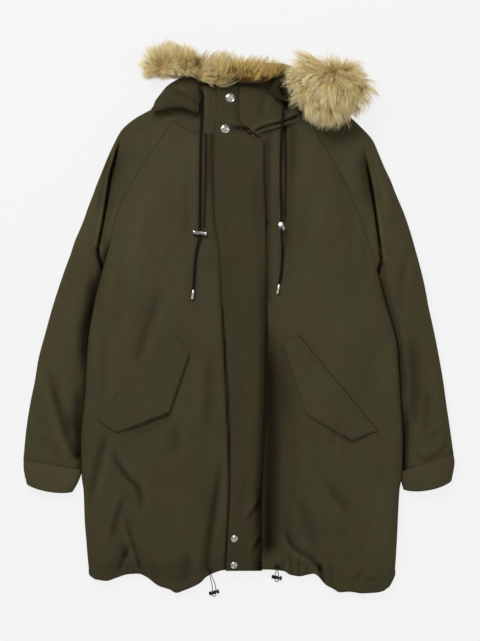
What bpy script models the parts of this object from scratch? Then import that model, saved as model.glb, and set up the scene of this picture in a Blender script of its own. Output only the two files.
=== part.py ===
# Fur trimmed parka, laid flat on its back with its front up.
# The garment lies on Z = 0, its hem towards -Y and its hood towards +Y.
# Left and right are the wearer's, so the right half is at -X.
# Tables and constants are in millimetres, and every mesh is made in metres.

import math

import bmesh
import bpy
import numpy as np
from mathutils import Vector
from mathutils.bvhtree import BVHTree

for old in list(bpy.data.objects):
    bpy.data.objects.remove(old, do_unlink=True)

MM = 0.001
WALL = 2.5  # shell cloth with its lining, as one wall
SEAM_GAP = 0.3  # between pieces that are sewn to each other
RIM_Z = WALL + SEAM_GAP  # a front panel's lower rim rests on the back sheet
RIGHT, LEFT = -1, 1  # the sign of X on the wearer's right and left

PLACKET_GAP = 0.4
PLACKET_THICK = 3.2
PLACKET_BEVEL = 1.5
PLACKET_EDGE_DROP = 1.0
FLAP_GAP = 1.2
FLAP_THICK = 3.0
CUFF_WALL = 3.0
CUFF_GAP = 0.4
BACK_INSET = 9.0  # the back sheet's edge, in from the widest part of the side roll
BACK_HEM_INSET = 5.0
BACK_CORNER_DROP = 4.0  # the back's lower corners, below the body's last row
BACK_CORNER_CLEAR = 8.0  # from a corner to the hem's first point
SLEEVE_BACK_INSET = 4.0
SLEEVE_TUCK = 3.0  # how far the sleeve's inner edge reaches below the body's side roll
NECK_REACH = 60.0  # from a seam to where the panel reaches its full height

HOOD_CORD_D = 5.0
HEM_CORD_D = 1.6
AGLET_D = 5.6
AGLET_LENGTH = 19.0
LOCK_D = 10.0
LOCK_LENGTH = 27.0
LOCK_BORE_D = 6.0
HEM_LOCK_D = 8.0
HEM_LOCK_LENGTH = 20.0
HEM_SLOT = (9.4, 2.6)  # width and height of the slot that both strands of a loop pass


def table(names, rows):
    """A table with named columns, one row for each section."""
    return {name: np.array(column, float) for name, column in zip(names.split(), zip(*rows))}


def read(rows, key, value, at):
    """Reads one column at a place between the rows, whichever way the key runs."""
    order = np.argsort(rows[key], kind="stable")
    return np.interp(at, rows[key][order], rows[value][order])


# Body, from the neck seam to the hem: how much of the neck's and the hem's curve a row takes,
# the height of the front there, and its height at the raglan seam.
BODY = table("y neck hem height seam", (
    (353, 1.00, 0.00, 32, 27),
    (340, 0.85, 0.00, 33, 27),
    (319, 0.60, 0.00, 34, 28),
    (294, 0.35, 0.00, 35, 28),
    (270, 0.15, 0.00, 36, 28),
    (247, 0.00, 0.00, 36, 28),
    (222, 0.00, 0.00, 36, 27),
    (201, 0.00, 0.00, 36, 27),
    (180, 0.00, 0.00, 36, 26),
    (160, 0.00, 0.00, 36, 26),
    (141, 0.00, 0.00, 36, 26),
    (120, 0.00, 0.00, 36, 25),
    (95, 0.00, 0.00, 35, 25),
    (66, 0.00, 0.00, 35, 25),
    (38, 0.00, 0.00, 35, 25),
    (0, 0.00, 0.00, 34, 25),
    (-38, 0.00, 0.00, 34, 25),
    (-86, 0.00, 0.00, 33, 25),
    (-133, 0.00, 0.00, 33, 25),
    (-171, 0.00, 0.00, 32, 25),
    (-209, 0.00, 0.00, 32, 25),
    (-247, 0.00, 0.00, 31, 25),
    (-285, 0.00, 0.00, 31, 25),
    (-323, 0.00, 0.10, 30, 25),
    (-361, 0.00, 0.25, 29, 25),
    (-390, 0.00, 0.42, 27, 25),
    (-418, 0.00, 0.62, 25, 25),
    (-441, 0.00, 0.80, 22, 25),
    (-460, 0.00, 0.93, 18, 25),
    (-476, 0.00, 1.00, 14, 25),
))
SLEEVE_ROWS = 22

# The raglan seam down to the armpit, then the body's side, for each half.
SIDE = {
    RIGHT: table("y x", (
        (382, -127), (354, -144), (270, -199), (202, -234), (160, -245), (120, -255), (95, -262),
        (38, -276), (-38, -289), (-152, -296), (-228, -303), (-294, -302), (-327, -298),
        (-380, -296), (-418, -293), (-464, -289), (-488, -284),
    )),
    LEFT: table("y x", (
        (384, 133), (352, 148), (314, 171), (270, 196), (213, 220), (171, 237), (125, 252),
        (99, 260), (38, 276), (-53, 300), (-152, 306), (-228, 310), (-294, 309), (-323, 304),
        (-418, 299), (-484, 294), (-505, 288),
    )),
}
# Where the sewn raglan seam ends and the side roll is fully open.
ARMPIT = {RIGHT: (160, 110), LEFT: (105, 55)}
# The neck seam rises towards the shoulder: how far, and how suddenly.
NECK_RISE = {RIGHT: (29, 3.3), LEFT: (31, 1.2)}

# The gathered hem's lower edge.
HEM = table("x y", (
    (-290, -480), (-283, -489), (-270, -496), (-255, -498), (-236, -492), (-213, -485),
    (-194, -484), (-179, -490), (-156, -507), (-133, -515), (-122, -521), (-106, -516),
    (-76, -502), (-65, -491), (-53, -484), (-30, -477), (-8, -476), (49, -476), (84, -479),
    (95, -486), (114, -489), (129, -486), (141, -484), (148, -488), (163, -505), (179, -514),
    (190, -520), (209, -519), (232, -522), (255, -521), (272, -518), (285, -507), (296, -484),
))

# A panel's edge: how far in each column stands when the edge is sewn flat and when it is
# rolled under, and its height then, as a share of the panel's.
SIDE_ROLL = table("sewn rolled height", (
    (0, 14, 0.00), (3, 5, 0.17), (6, 0, 0.46), (10, 4, 0.74), (22, 16, 0.92),
))
SLEEVE_INNER_ROLL = table("sewn rolled height", (
    (0, 5, 0.00), (3, 1, 0.06), (6, 0, 0.14), (10, 4, 0.34), (22, 15, 0.72),
))
SLEEVE_OUTER_ROLL = table("sewn rolled height", (
    (0, 8, 0.00), (3, 2, 0.18), (6, 0, 0.46), (10, 4, 0.74), (20, 15, 0.93),
))
ROLL_SPAN = 95.0  # a narrower row takes a smaller roll
# A front's flat columns, as shares of the way from its side roll to the placket's edge.
FRONT_COLUMNS = (1 / 9, 2 / 9, 3 / 9, 4 / 9, 5 / 9, 6 / 9, 7 / 9, 0.86, 0.94, 1)

PLACKET = table("y right left", (
    (445, -44, -2), (380, -46, -2), (340, -49, 46), (270, -49, 46), (194, -48, 49),
    (129, -38, 50), (49, -34, 51), (0, -30, 53), (-152, -19, 50), (-266, -17, 45),
    (-342, -19, 42), (-476, -27, 42),
))

# The largest folds of the fronts: a line from end to end, its half width and its depth.
FOLDS = table("x0 y0 x1 y1 width depth", (
    (-232, -240, -250, -380, 13, 4.0),
    (-200, -265, -160, -345, 12, 3.5),
    (-170, -330, -180, -430, 14, 4.5),
    (-212, -350, -222, -450, 12, 3.5),
    (-60, -300, -75, -430, 14, 3.0),
    (62, 40, 74, -180, 11, 6.0),
    (74, -180, 66, -400, 12, 8.0),
    (66, -400, 76, -470, 11, 6.0),
    (112, -380, 150, -460, 12, 4.5),
    (96, -330, 118, -400, 14, 3.0),
    (190, -455, 250, -480, 12, 3.0),
    (150, -240, 230, -330, 16, 3.0),
))

# Sleeves: the outer end of each row, the height of the row's middle, and the long crease
# beside the armpit, as its place across the row from the seam and its depth.
SLEEVE = {
    RIGHT: table("x y height crease depth", (
        (-162, 405, 25, 0.90, 0), (-179, 396, 26, 0.90, 0), (-203, 382, 28, 0.90, 0),
        (-226, 361, 29, 0.90, 0), (-240, 336, 30, 0.83, 3), (-252, 310, 30, 0.72, 6),
        (-263, 283, 30, 0.62, 8), (-273, 258, 30, 0.52, 9), (-281, 236, 30, 0.46, 9),
        (-290, 213, 30, 0.42, 9), (-296, 195, 30, 0.39, 8), (-304, 175, 30, 0.33, 5),
        (-314, 152, 29, 0.20, 2), (-324, 122, 29, 0.20, 0), (-334, 95, 29, 0.20, 0),
        (-347, 57, 28, 0.20, 0), (-358, 22, 28, 0.20, 0), (-371, -25, 27, 0.60, 3),
        (-384, -74, 26, 0.60, 5), (-391, -116, 25, 0.55, 5), (-400, -160, 24, 0.45, 4),
        (-408, -213, 22, 0.30, 2), (-413, -266, 21, 0.30, 0),
    )),
    LEFT: table("x y height crease depth", (
        (165, 405, 25, 0.70, 0), (182, 398, 26, 0.70, 0), (207, 388, 28, 0.70, 0),
        (232, 366, 29, 0.70, 0), (253, 342, 30, 0.69, 3), (265, 315, 30, 0.60, 6),
        (276, 289, 30, 0.55, 8), (287, 266, 30, 0.50, 9), (295, 245, 30, 0.42, 9),
        (303, 226, 30, 0.33, 9), (311, 207, 30, 0.28, 8), (318, 188, 30, 0.22, 6),
        (326, 163, 29, 0.15, 3), (334, 135, 29, 0.60, 0), (342, 106, 29, 0.60, 0),
        (352, 65, 28, 0.60, 0), (359, 27, 28, 0.60, 0), (370, -23, 27, 0.60, 2),
        (380, -74, 26, 0.60, 4), (387, -114, 25, 0.60, 5), (393, -158, 24, 0.50, 4),
        (400, -205, 22, 0.40, 3), (407, -254, 21, 0.30, 0),
    )),
}
SLEEVE_END_INNER = {RIGHT: (-300, -286), LEFT: (307, -288)}
SLEEVE_MIDDLE_COLUMNS = 8
CREASE_WIDTH = 0.07  # as a share of the sleeve's width

# Cuff bands: the ends of their middle and lower rows and each row's height. The top row
# follows the sleeve's end.
CUFF = {
    RIGHT: table("inner_x inner_y outer_x outer_y height", (
        (-308, -308, -412, -288, 22), (-318, -326, -407, -311, 20),
    )),
    LEFT: table("inner_x inner_y outer_x outer_y height", (
        (307, -306, 409, -275, 22), (311, -322, 404, -304, 20),
    )),
}
CUFF_TOP_HEIGHT = 22.0
# Half of the band's flattened section, from the middle of its top round to its underside.
CUFF_SECTION = table("inset height", (
    (26, 1.00), (10, 0.95), (2.5, 0.78), (0, 0.48), (1.5, 0.18), (7, 0.00), (26, 0.00),
))

COLLAR_TOP = {
    RIGHT: table("x y", ((-127, 412), (-100, 436), (-80, 445), (0, 445))),
    LEFT: table("x y", ((-30, 445), (62, 445), (96, 438), (133, 414))),
}
COLLAR_ROWS = 5
COLLAR_TOP_Z = 33.0

# Rounded solids that a loft runs through, from one end to the other along X: each section's
# lowest and highest Y and Z.
HOOD_BAG = table("x y0 y1 z0 z1", (
    (-118, 418, 462, 0, 14), (-108, 411, 476, 0, 22), (-80, 402, 488, 0, 26),
    (-30, 396, 492, 0, 26), (30, 396, 491, 0, 26), (84, 402, 488, 0, 26),
    (110, 412, 476, 0, 22), (120, 419, 460, 0, 14),
))
HOOD_SIDE = {
    RIGHT: table("x y0 y1 z0 z1", (
        (-164, 394, 408, 31, 40), (-160, 395, 417, 30.5, 46), (-150, 397, 430, 30.5, 51),
        (-139, 400, 443, 30.5, 54), (-126, 402, 452, 35, 56), (-114, 402, 458, 35.5, 57),
        (-101, 399, 460, 36, 57), (-88, 393, 459, 36, 55), (-79, 392, 452, 36, 49),
    )),
    LEFT: table("x y0 y1 z0 z1", (
        (60, 428, 447, 36, 40), (66, 420, 456, 36, 45), (80, 416, 467, 36, 47),
        (96, 414, 470, 36, 47), (106, 420, 462, 36, 43),
    )),
}
FUR = {
    "fur_right": table("x y0 y1 z0 z1", (
        (-195, 462, 500, 22, 40), (-188, 457, 506, 16, 54), (-174, 455, 512, 14, 64),
        (-156, 456, 526, 12, 72), (-138, 459, 529, 12, 76), (-122, 461, 529, 28, 76),
        (-100, 463, 526, 28, 73), (-88, 462, 520, 28, 68), (-78, 458, 512, 28, 60),
    )),
    "fur_middle": table("x y0 y1 z0 z1", (
        (-77, 455, 508, 28, 56), (-64, 449, 514, 28, 64), (-40, 448, 512, 28, 66),
        (-12, 448, 507, 28, 66), (16, 448, 503, 28, 65), (40, 448, 499, 28, 63),
        (56, 456, 496, 28, 58), (84, 478, 493, 29, 50),
    )),
    "fur_left": table("x y0 y1 z0 z1", (
        (80, 436, 476, 52, 66), (90, 414, 488, 50, 80), (105, 394, 493, 49, 90),
        (122, 378, 494, 38, 97), (140, 362, 498, 37, 101), (158, 349, 507, 37, 103),
        (174, 347, 507, 37, 103), (190, 356, 506, 37, 101), (206, 368, 506, 37, 97),
        (222, 382, 496, 37, 90), (236, 400, 482, 38, 82), (248, 414, 462, 44, 72),
        (258, 428, 446, 52, 64),
    )),
}
BLOB_CORNERS = 14
BLOB_ROUNDNESS = 0.7  # 1 is an ellipse, and less is squarer

# Pocket flaps: the top edge's two ends, then the lower outline from the side to the middle.
FLAP_TOP = {RIGHT: ((-270, -188), (-124, -30)), LEFT: ((264, -212), (111, -28))}
FLAP_OUTLINE = {
    RIGHT: table("share x y", (
        (0, -262, -198), (0.14, -234, -215), (0.74, -134, -176), (0.97, -97, -68),
        (1, -97, -62),
    )),
    LEFT: table("share x y", (
        (0, 249, -215), (0.14, 213, -230), (0.74, 125, -180), (0.97, 83, -52),
        (1, 83, -46),
    )),
}
FLAP_COLUMNS = (0, 0.14, 0.3, 0.45, 0.6, 0.74, 0.86, 0.97, 1)
FLAP_ROWS = (0, 0.25, 0.5, 0.75, 1)

SNAPS = table("x y radius", (
    (-19.0, 422.0, 9.0), (-28.5, 363.0, 8.5), (-10.6, -415.5, 6.8), (-11.5, -466.5, 6.8),
))
SNAP_PROFILE = table("radius height", ((0.86, 0.0), (1.0, 0.8), (1.0, 1.6), (0.8, 3.0), (0.45, 3.7)))
# A cord lock: its barrel, then the button that a spring pushes out. Each ring's radius is a
# share of the barrel's, and its place is from one end of the lock or the other.
LOCK_PROFILE = table("radius end along", (
    (0.70, -0.5, 0.0), (1.00, -0.5, 1.2), (1.00, 0.5, -7.0), (0.86, 0.5, -6.0), (0.50, 0.5, -5.2),
    (0.50, 0.5, -4.6), (0.66, 0.5, -3.2), (0.60, 0.5, -1.2), (0.30, 0.5, 0.0),
))

# Cord routes, from where each leaves the cloth to its free end.
HOOD_CORD = {
    RIGHT: table("x y z", (
        (-72, 433, 37.0), (-72, 412, 37.6), (-72.6, 391, 37.6), (-74, 361, 36.4),
        (-75, 323, 37.8), (-75.5, 275, 39.4), (-76, 228, 39.8), (-76.4, 190, 41.6),
        (-76.3, 175, 42.2), (-76.2, 165.3, 42.2), (-76.4, 156, 42.1), (-78.8, 146, 41.2),
        (-82.4, 131, 39.8), (-85, 110, 39.6), (-87, 84, 39.0), (-88.4, 57.4, 38.6),
    )),
    LEFT: table("x y z", (
        (82, 403, 37.0), (80.4, 384, 37.0), (78.6, 352, 36.6), (77.4, 304, 38.2),
        (77.2, 262, 39.8), (77.6, 228, 44.0), (78.2, 200, 49.4), (78.5, 186, 50.4),
        (78.5, 177.6, 50.4), (78.6, 168, 50.2), (79.6, 152, 47.0), (80.4, 130, 41.2),
        (79.8, 112, 39.2), (78.6, 96, 38.6), (76.6, 80, 38.4), (74.2, 68.2, 38.4),
    )),
}
HOOD_LOCK = {
    RIGHT: ((-76.2, 165.3, 42.2), (1, -0.12, 0)),
    LEFT: ((78.5, 177.6, 50.4), (0.42, 0, 0.907)),
}
AGLET_TURN = {RIGHT: (-0.15, -0.989, 0), LEFT: (-0.19, -0.982, 0)}
# Each hem cord is a loop: the line between its two strands, and how far each is from it.
HEM_CORD = {
    RIGHT: table("x y z spread", (
        (-57.4, -476.0, 18.0, 1.4), (-57.3, -476.8, 19.8, 1.4), (-57.0, -479.0, 21.2, 1.4),
        (-56.4, -483.0, 20.6, 1.5), (-55.2, -488.5, 18.6, 1.8), (-53.6, -493.5, 14.6, 2.2),
        (-51.8, -499.0, 10.2, 2.6), (-50.4, -505.0, 7.0, 3.0), (-49.6, -511.0, 5.4, 3.2),
        (-49.4, -516.0, 5.0, 3.2), (-49.4, -524.0, 5.0, 3.2),
    )),
    LEFT: table("x y z spread", (
        (70.6, -469.9, 15.0, 1.3), (70.6, -470.8, 16.8, 1.3), (70.6, -473.0, 18.4, 1.4),
        (70.5, -476.8, 17.8, 1.6), (70.4, -480.0, 15.4, 2.0), (70.3, -482.2, 11.8, 2.6),
        (70.2, -483.6, 8.6, 3.0), (70.2, -485.4, 6.8, 3.2), (70.2, -487.6, 6.4, 3.2),
        (70.2, -496.0, 6.4, 3.2),
    )),
}
HEM_LOCK = {
    RIGHT: ((-49.4, -519.8, 5.0), (0.966, 0.259, 0)),
    LEFT: ((70.2, -491.2, 6.4), (0.985, -0.174, 0)),
}
HEM_EYELET = {RIGHT: (-57.4, -475.6), LEFT: (70.6, -469.6)}
EYELET_RINGS = ((4.5, 0), (4.5, 0.8), (3.6, 1.4))
EYELET_HOLE_D = 5.6
CORD_STEP = 2.4  # spacing of a tube's points, in diameters

# Colour, roughness and metallic value of each finish.
FINISHES = {
    "olive cloth": ((0.056, 0.048, 0.024), 0.85, 0.0),
    "blond fur": ((0.34, 0.26, 0.12), 0.9, 0.0),
    "silver metal": ((0.75, 0.74, 0.71), 0.25, 1.0),
    "dark metal": ((0.05, 0.05, 0.05), 0.35, 1.0),
    "dark cord": ((0.012, 0.01, 0.008), 0.8, 0.0),
}


def finish(name):
    colour, roughness, metallic = FINISHES[name]
    material = bpy.data.materials.new(name)
    material.use_nodes = True
    shader = material.node_tree.nodes["Principled BSDF"]
    shader.inputs["Base Color"].default_value = (*colour, 1)
    shader.inputs["Roughness"].default_value = roughness
    shader.inputs["Metallic"].default_value = metallic
    return material


def add_object(name, mesh, material):
    mesh.materials.append(finish(material))
    made = bpy.data.objects.new(name, mesh)
    bpy.context.scene.collection.objects.link(made)
    return made


def mesh_object(name, points, faces, material="olive cloth"):
    """One closed body from points in millimetres, its faces turned outwards."""
    mesh = bpy.data.meshes.new(name)
    mesh.from_pydata([tuple(np.array(point) * MM) for point in points], [], faces)
    shape = bmesh.new()
    shape.from_mesh(mesh)
    bmesh.ops.recalc_face_normals(shape, faces=shape.faces)
    shape.to_mesh(mesh)
    shape.free()
    return add_object(name, mesh, material)


def wall_object(name, outer, inner, material="olive cloth"):
    """A wall between two grids of points, rows by columns, closed along its four edges."""
    outer, inner = np.array(outer, float), np.array(inner, float)
    rows, columns = outer.shape[:2]
    points = np.concatenate([outer.reshape(-1, 3), inner.reshape(-1, 3)])
    half = rows * columns
    faces = []
    for row in range(rows - 1):
        for column in range(columns - 1):
            a = row * columns + column
            quad = (a, a + 1, a + columns + 1, a + columns)
            faces.append(quad)
            faces.append(tuple(half + i for i in reversed(quad)))
    edge = list(range(columns))
    edge += [row * columns + columns - 1 for row in range(1, rows)]
    edge += [(rows - 1) * columns + column for column in range(columns - 2, -1, -1)]
    edge += [row * columns for row in range(rows - 2, 0, -1)]
    for a, b in zip(edge, edge[1:] + edge[:1]):
        faces.append((b, a, half + a, half + b))
    return mesh_object(name, points, faces, material)


def loft_object(name, rings, material="olive cloth"):
    """A closed solid through rings of points, with a flat face at each end."""
    size = len(rings[0])
    points = [point for ring in rings for point in ring]
    faces = [tuple(range(size)), tuple(len(points) - 1 - i for i in range(size))]
    for start in range(0, len(points) - size, size):
        for i in range(size):
            j = (i + 1) % size
            faces.append((start + i, start + j, start + size + j, start + size + i))
    return mesh_object(name, points, faces, material)


def tube_wall_object(name, outer_rings, inner_rings, material="olive cloth"):
    """An open tube with a wall, through outer and inner rings of the same count."""
    size = len(outer_rings[0])
    count = len(outer_rings)
    points = [point for ring in outer_rings + inner_rings for point in ring]
    half = size * count
    faces = []
    for row in range(count - 1):
        for i in range(size):
            j = (i + 1) % size
            quad = (row * size + i, row * size + j, (row + 1) * size + j, (row + 1) * size + i)
            faces.append(quad)
            faces.append(tuple(half + k for k in reversed(quad)))
    for start in (0, (count - 1) * size):
        for i in range(size):
            j = (i + 1) % size
            faces.append((start + i, start + j, half + start + j, half + start + i))
    return mesh_object(name, points, faces, material)


def sheet_object(name, outline):
    """A flat cloth wall that lies on the surface."""
    count = len(outline)
    points = [(x, y, z) for z in (0, WALL) for x, y in outline]
    faces = [tuple(range(count)), tuple(range(2 * count - 1, count - 1, -1))]
    faces += [(i, (i + 1) % count, count + (i + 1) % count, count + i) for i in range(count)]
    return mesh_object(name, points, faces)


def turned_object(name, rings, centre, axis, segments, material):
    """A turned solid: rings of radius and height, from its base up along the axis."""
    turn = Vector((0, 0, 1)).rotation_difference(Vector(axis).normalized())
    loops = []
    for radius, height in rings:
        angles = [2 * math.pi * i / segments for i in range(segments)]
        ring = [Vector((radius * math.cos(a), radius * math.sin(a), height)) for a in angles]
        loops.append([tuple(turn @ point + Vector(centre)) for point in ring])
    made = loft_object(name, loops, material)
    made.data.shade_smooth()
    made.data.set_sharp_from_angle(angle=math.radians(35))
    return made


def cut(made, points, faces):
    """Cuts a hole through a solid with a closed helper shape."""
    cutter = mesh_object(made.name + "_cutter", points, faces)
    cutter.hide_render = True
    cutter.display_type = "WIRE"
    hole = made.modifiers.new("hole", "BOOLEAN")
    hole.operation = "DIFFERENCE"
    hole.object = cutter


def smooth_share(share):
    share = np.clip(share, 0, 1)
    return share * share * (3 - 2 * share)


def openness(side, y):
    """0 where the raglan seam joins body and sleeve, 1 where the side rolls under."""
    top, low = ARMPIT[side]
    return float(smooth_share((top - y) / (top - low)))


def fold_depth(x, y):
    """How far the folds lower the front at a point."""
    depth = 0.0
    for x0, y0, x1, y1, width, deep in zip(*FOLDS.values()):
        along = np.array((x1 - x0, y1 - y0))
        share = np.clip(np.dot((x - x0, y - y0), along) / np.dot(along, along), 0, 1)
        away = math.hypot(x - x0 - share * along[0], y - y0 - share * along[1])
        depth += deep * math.exp(-((away / width) ** 2))
    return depth


def placket_edge(side, y):
    return float(read(PLACKET, "y", "right" if side == RIGHT else "left", y))


def zip_line(y):
    """The line where the two fronts meet, below the middle of the placket."""
    return (placket_edge(RIGHT, y) + placket_edge(LEFT, y)) / 2


def inner_line(line, first, last):
    """The inner wall's section: the line moved in by the wall, with its two ends' moves given."""
    inner = line.copy()
    for i in range(1, len(line) - 1):
        run, rise = line[i + 1] - line[i - 1]
        length = math.hypot(run, rise)
        inner[i] += WALL * np.array((rise, -run)) / length
    inner[0] += WALL * np.array(first)
    inner[-1] += WALL * np.array(last)
    return inner


def roll_line(roll, opened, scale, height, seam, top):
    """A panel edge's columns as (in from the edge, height), partly opened from sewn to rolled."""
    points = []
    for sewn, rolled, share in zip(*roll.values()):
        inset = scale * (sewn + (rolled - sewn) * opened)
        flat = seam + (height - seam) * float(smooth_share(scale * sewn / NECK_REACH))
        round_z = RIM_Z + (top - RIM_Z) * share
        points.append((inset, flat + (round_z - flat) * opened))
    return points


def edge_move(opened):
    """Which way the wall's thickness goes at an edge: down at a seam, inwards at a rim."""
    return np.array((opened, opened - 1)) / math.hypot(opened, 1 - opened)


def body_row(side, index):
    """A row of a front: its section from the side to the zip, and each column's own Y."""
    y = BODY["y"][index]
    height, seam = BODY["height"][index], BODY["seam"][index]
    rise, power = NECK_RISE[side]
    neck = BODY["neck"][index]
    edge_y = y + neck * rise
    edge = float(read(SIDE[side], "y", "x", edge_y)) - side * SEAM_GAP / 2
    opened = openness(side, y)
    section = roll_line(SIDE_ROLL, opened, 1.0, height, seam, height)
    start = section[-1][0]
    middle = abs(placket_edge(side, y) - edge)
    end = abs(zip_line(y) + side * SEAM_GAP / 2 - edge)
    roll_end, roll_share = SIDE_ROLL["rolled"][-1], SIDE_ROLL["height"][-1]
    for inset in [start + (middle - start) * share for share in FRONT_COLUMNS] + [end]:
        flat = seam + (height - seam) * float(smooth_share(inset / NECK_REACH))
        share = min(1.0, roll_share + (1 - roll_share) * (inset - roll_end) / NECK_REACH)
        rolled = RIM_Z + (height - RIM_Z) * share
        z = flat + (rolled - flat) * opened
        if inset < middle - SEAM_GAP:
            z -= fold_depth(edge - side * inset, y)
        section.append((inset, z))
    line = np.array(section)
    inner = inner_line(line, edge_move(opened), (0, -1))
    grids = []
    for points in (line, inner):
        row = []
        for (inset, z), (own, _) in zip(points, line):
            x = edge - side * inset
            share = max(0.0, 1 - own / middle)
            own_y = y + neck * rise * share ** power
            drop = float(read(HEM, "x", "y", edge - side * own)) - BODY["y"][-1]
            row.append((x, own_y + BODY["hem"][index] * drop, z))
        grids.append(row)
    return grids


def side_point(side, index):
    """Where a body row meets the raglan seam or the side, without the seam's gap."""
    y = BODY["y"][index] + BODY["neck"][index] * NECK_RISE[side][0]
    return np.array((float(read(SIDE[side], "y", "x", y)), y))


def sleeve_ends(side, index, shift):
    """A sleeve row's two ends and how far its seam has opened: the inner end, moved by the
    shift where the sleeve lies free of the body, and the outer end."""
    outer_end = np.array((SLEEVE[side]["x"][index], SLEEVE[side]["y"][index]))
    if index == SLEEVE_ROWS:
        return np.array(SLEEVE_END_INNER[side], float), outer_end, 1.0
    opened = openness(side, BODY["y"][index])
    move = SEAM_GAP / 2 + (shift - SEAM_GAP / 2) * opened
    return side_point(side, index) + (side * move, 0), outer_end, opened


def sleeve_row(side, index):
    """A row of a sleeve's front half: its section from the seam to the sleeve's outer edge."""
    rows = SLEEVE[side]
    inner_end, outer_end, opened = sleeve_ends(side, index, -SLEEVE_TUCK)
    across = outer_end - inner_end
    width = float(np.linalg.norm(across))
    scale = min(1.0, width / ROLL_SPAN)
    height = rows["height"][index]
    seam = BODY["seam"][min(index, SLEEVE_ROWS - 1)]
    near = roll_line(SLEEVE_INNER_ROLL, opened, scale, height, seam, height)
    far = roll_line(SLEEVE_OUTER_ROLL, 1.0, scale, height, seam, height)
    start, end = near[-1][0], width - far[-1][0]
    section = list(near)
    for step in range(1, SLEEVE_MIDDLE_COLUMNS + 1):
        share = step / (SLEEVE_MIDDLE_COLUMNS + 1)
        place = start + (end - start) * share
        ends = near[-1][1] + (far[-1][1] - near[-1][1]) * share
        crown = ends + (height - ends) * math.sin(math.pi * share) ** 0.5
        away = (place / width - rows["crease"][index]) / CREASE_WIDTH
        section.append((place, crown - rows["depth"][index] * math.exp(-away * away)))
    section += [(width - inset, z) for inset, z in reversed(far)]
    line = np.array(section)
    inner = inner_line(line, edge_move(opened), (-1, 0))
    return [[(*(inner_end + across / width * s), z) for s, z in points] for points in (line, inner)]


def make_fronts():
    made = {}
    grids = {}
    for side, name in ((RIGHT, "front_right"), (LEFT, "front_left")):
        rows = [body_row(side, index) for index in range(len(BODY["y"]))]
        made[side] = wall_object(name, [row[0] for row in rows], [row[1] for row in rows])
        grids[side] = rows
    return made, grids


def make_sleeves():
    for side, name in ((RIGHT, "right"), (LEFT, "left")):
        rows = [sleeve_row(side, index) for index in range(SLEEVE_ROWS + 1)]
        wall_object(f"sleeve_front_{name}", [row[0] for row in rows], [row[1] for row in rows])
        near, far = [], []
        for index in range(SLEEVE_ROWS + 1):
            inner_end, outer_end, _ = sleeve_ends(side, index, SLEEVE_BACK_INSET - SLEEVE_TUCK)
            across = (outer_end - inner_end) / np.linalg.norm(outer_end - inner_end)
            if index == SLEEVE_ROWS:
                inner_end = inner_end + across * SLEEVE_BACK_INSET
            near.append(tuple(inner_end))
            far.append(tuple(outer_end - across * SLEEVE_BACK_INSET))
        sheet_object(f"sleeve_back_{name}", near + far[::-1])


def make_back():
    """The back lies flat, a little inside the fronts' side rolls and hem."""
    halves = []
    for side in (RIGHT, LEFT):
        edge = []
        for index in range(len(BODY["y"])):
            x, y = side_point(side, index)
            opened = openness(side, BODY["y"][index])
            if index == len(BODY["y"]) - 1:
                y -= BACK_CORNER_DROP
            edge.append((x - side * (SEAM_GAP / 2 + (BACK_INSET - SEAM_GAP / 2) * opened), y))
        halves.append(edge)
    right_corner, left_corner = halves[0][-1][0], halves[1][-1][0]
    inside = (HEM["x"] > right_corner + BACK_CORNER_CLEAR) & (HEM["x"] < left_corner - BACK_CORNER_CLEAR)
    hem = list(zip(HEM["x"][inside], HEM["y"][inside] + BACK_HEM_INSET))
    sheet_object("back_panel", halves[0] + hem + halves[1][::-1])


def make_collar(grids):
    """The hood's front bands stand on the fronts' neck seam and share its points."""
    for side, name in ((RIGHT, "collar_right"), (LEFT, "collar_left")):
        seam = np.array(grids[side][0][0])
        outer = []
        for row in range(COLLAR_ROWS):
            share = row / (COLLAR_ROWS - 1)
            points = []
            for column, (x, y, z) in enumerate(seam):
                top_y = float(read(COLLAR_TOP[side], "x", "y", x))
                own_y = y + SEAM_GAP + (top_y - y - SEAM_GAP) * share
                if column == len(seam) - 2:
                    x = placket_edge(side, own_y)
                elif column == len(seam) - 1:
                    x = zip_line(own_y) + side * SEAM_GAP / 2
                own_z = z + (COLLAR_TOP_Z - BODY["height"][0]) * share
                points.append((x, own_y, own_z))
            outer.append(points)
        outer = np.array(outer)
        edge = outer[:, -2, 0]
        for column in range(len(seam) - 2):
            reach = (outer[0, column, 0] - outer[0, 0, 0]) / (edge[0] - outer[0, 0, 0])
            outer[:, column, 0] += (edge - edge[0]) * reach ** 2
        wall_object(name, outer, outer - (0, 0, WALL))


def placket_rows():
    """Each row of the placket's underside: its Y and the height of what it lies on."""
    neck_y, neck_z = BODY["y"][0] + SEAM_GAP, BODY["height"][0]
    collar_y = np.linspace(PLACKET["y"][0], neck_y, COLLAR_ROWS)
    collar_z = np.linspace(COLLAR_TOP_Z, neck_z, COLLAR_ROWS)
    return list(zip(collar_y, collar_z)) + list(zip(BODY["y"], BODY["height"]))


def make_placket():
    outer, inner = [], []
    for y, z in placket_rows():
        x0, x1 = placket_edge(RIGHT, y), placket_edge(LEFT, y)
        low = z + PLACKET_GAP
        top = low + PLACKET_THICK
        columns = (x0, x0 + PLACKET_BEVEL, (x0 + x1) / 2, x1 - PLACKET_BEVEL, x1)
        edge_top = top - PLACKET_EDGE_DROP
        heights = (edge_top, top, top, top, edge_top)
        outer.append([(x, y, high) for x, high in zip(columns, heights)])
        inner.append([(x, y, low) for x in columns])
    return wall_object("placket", outer, inner)


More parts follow.
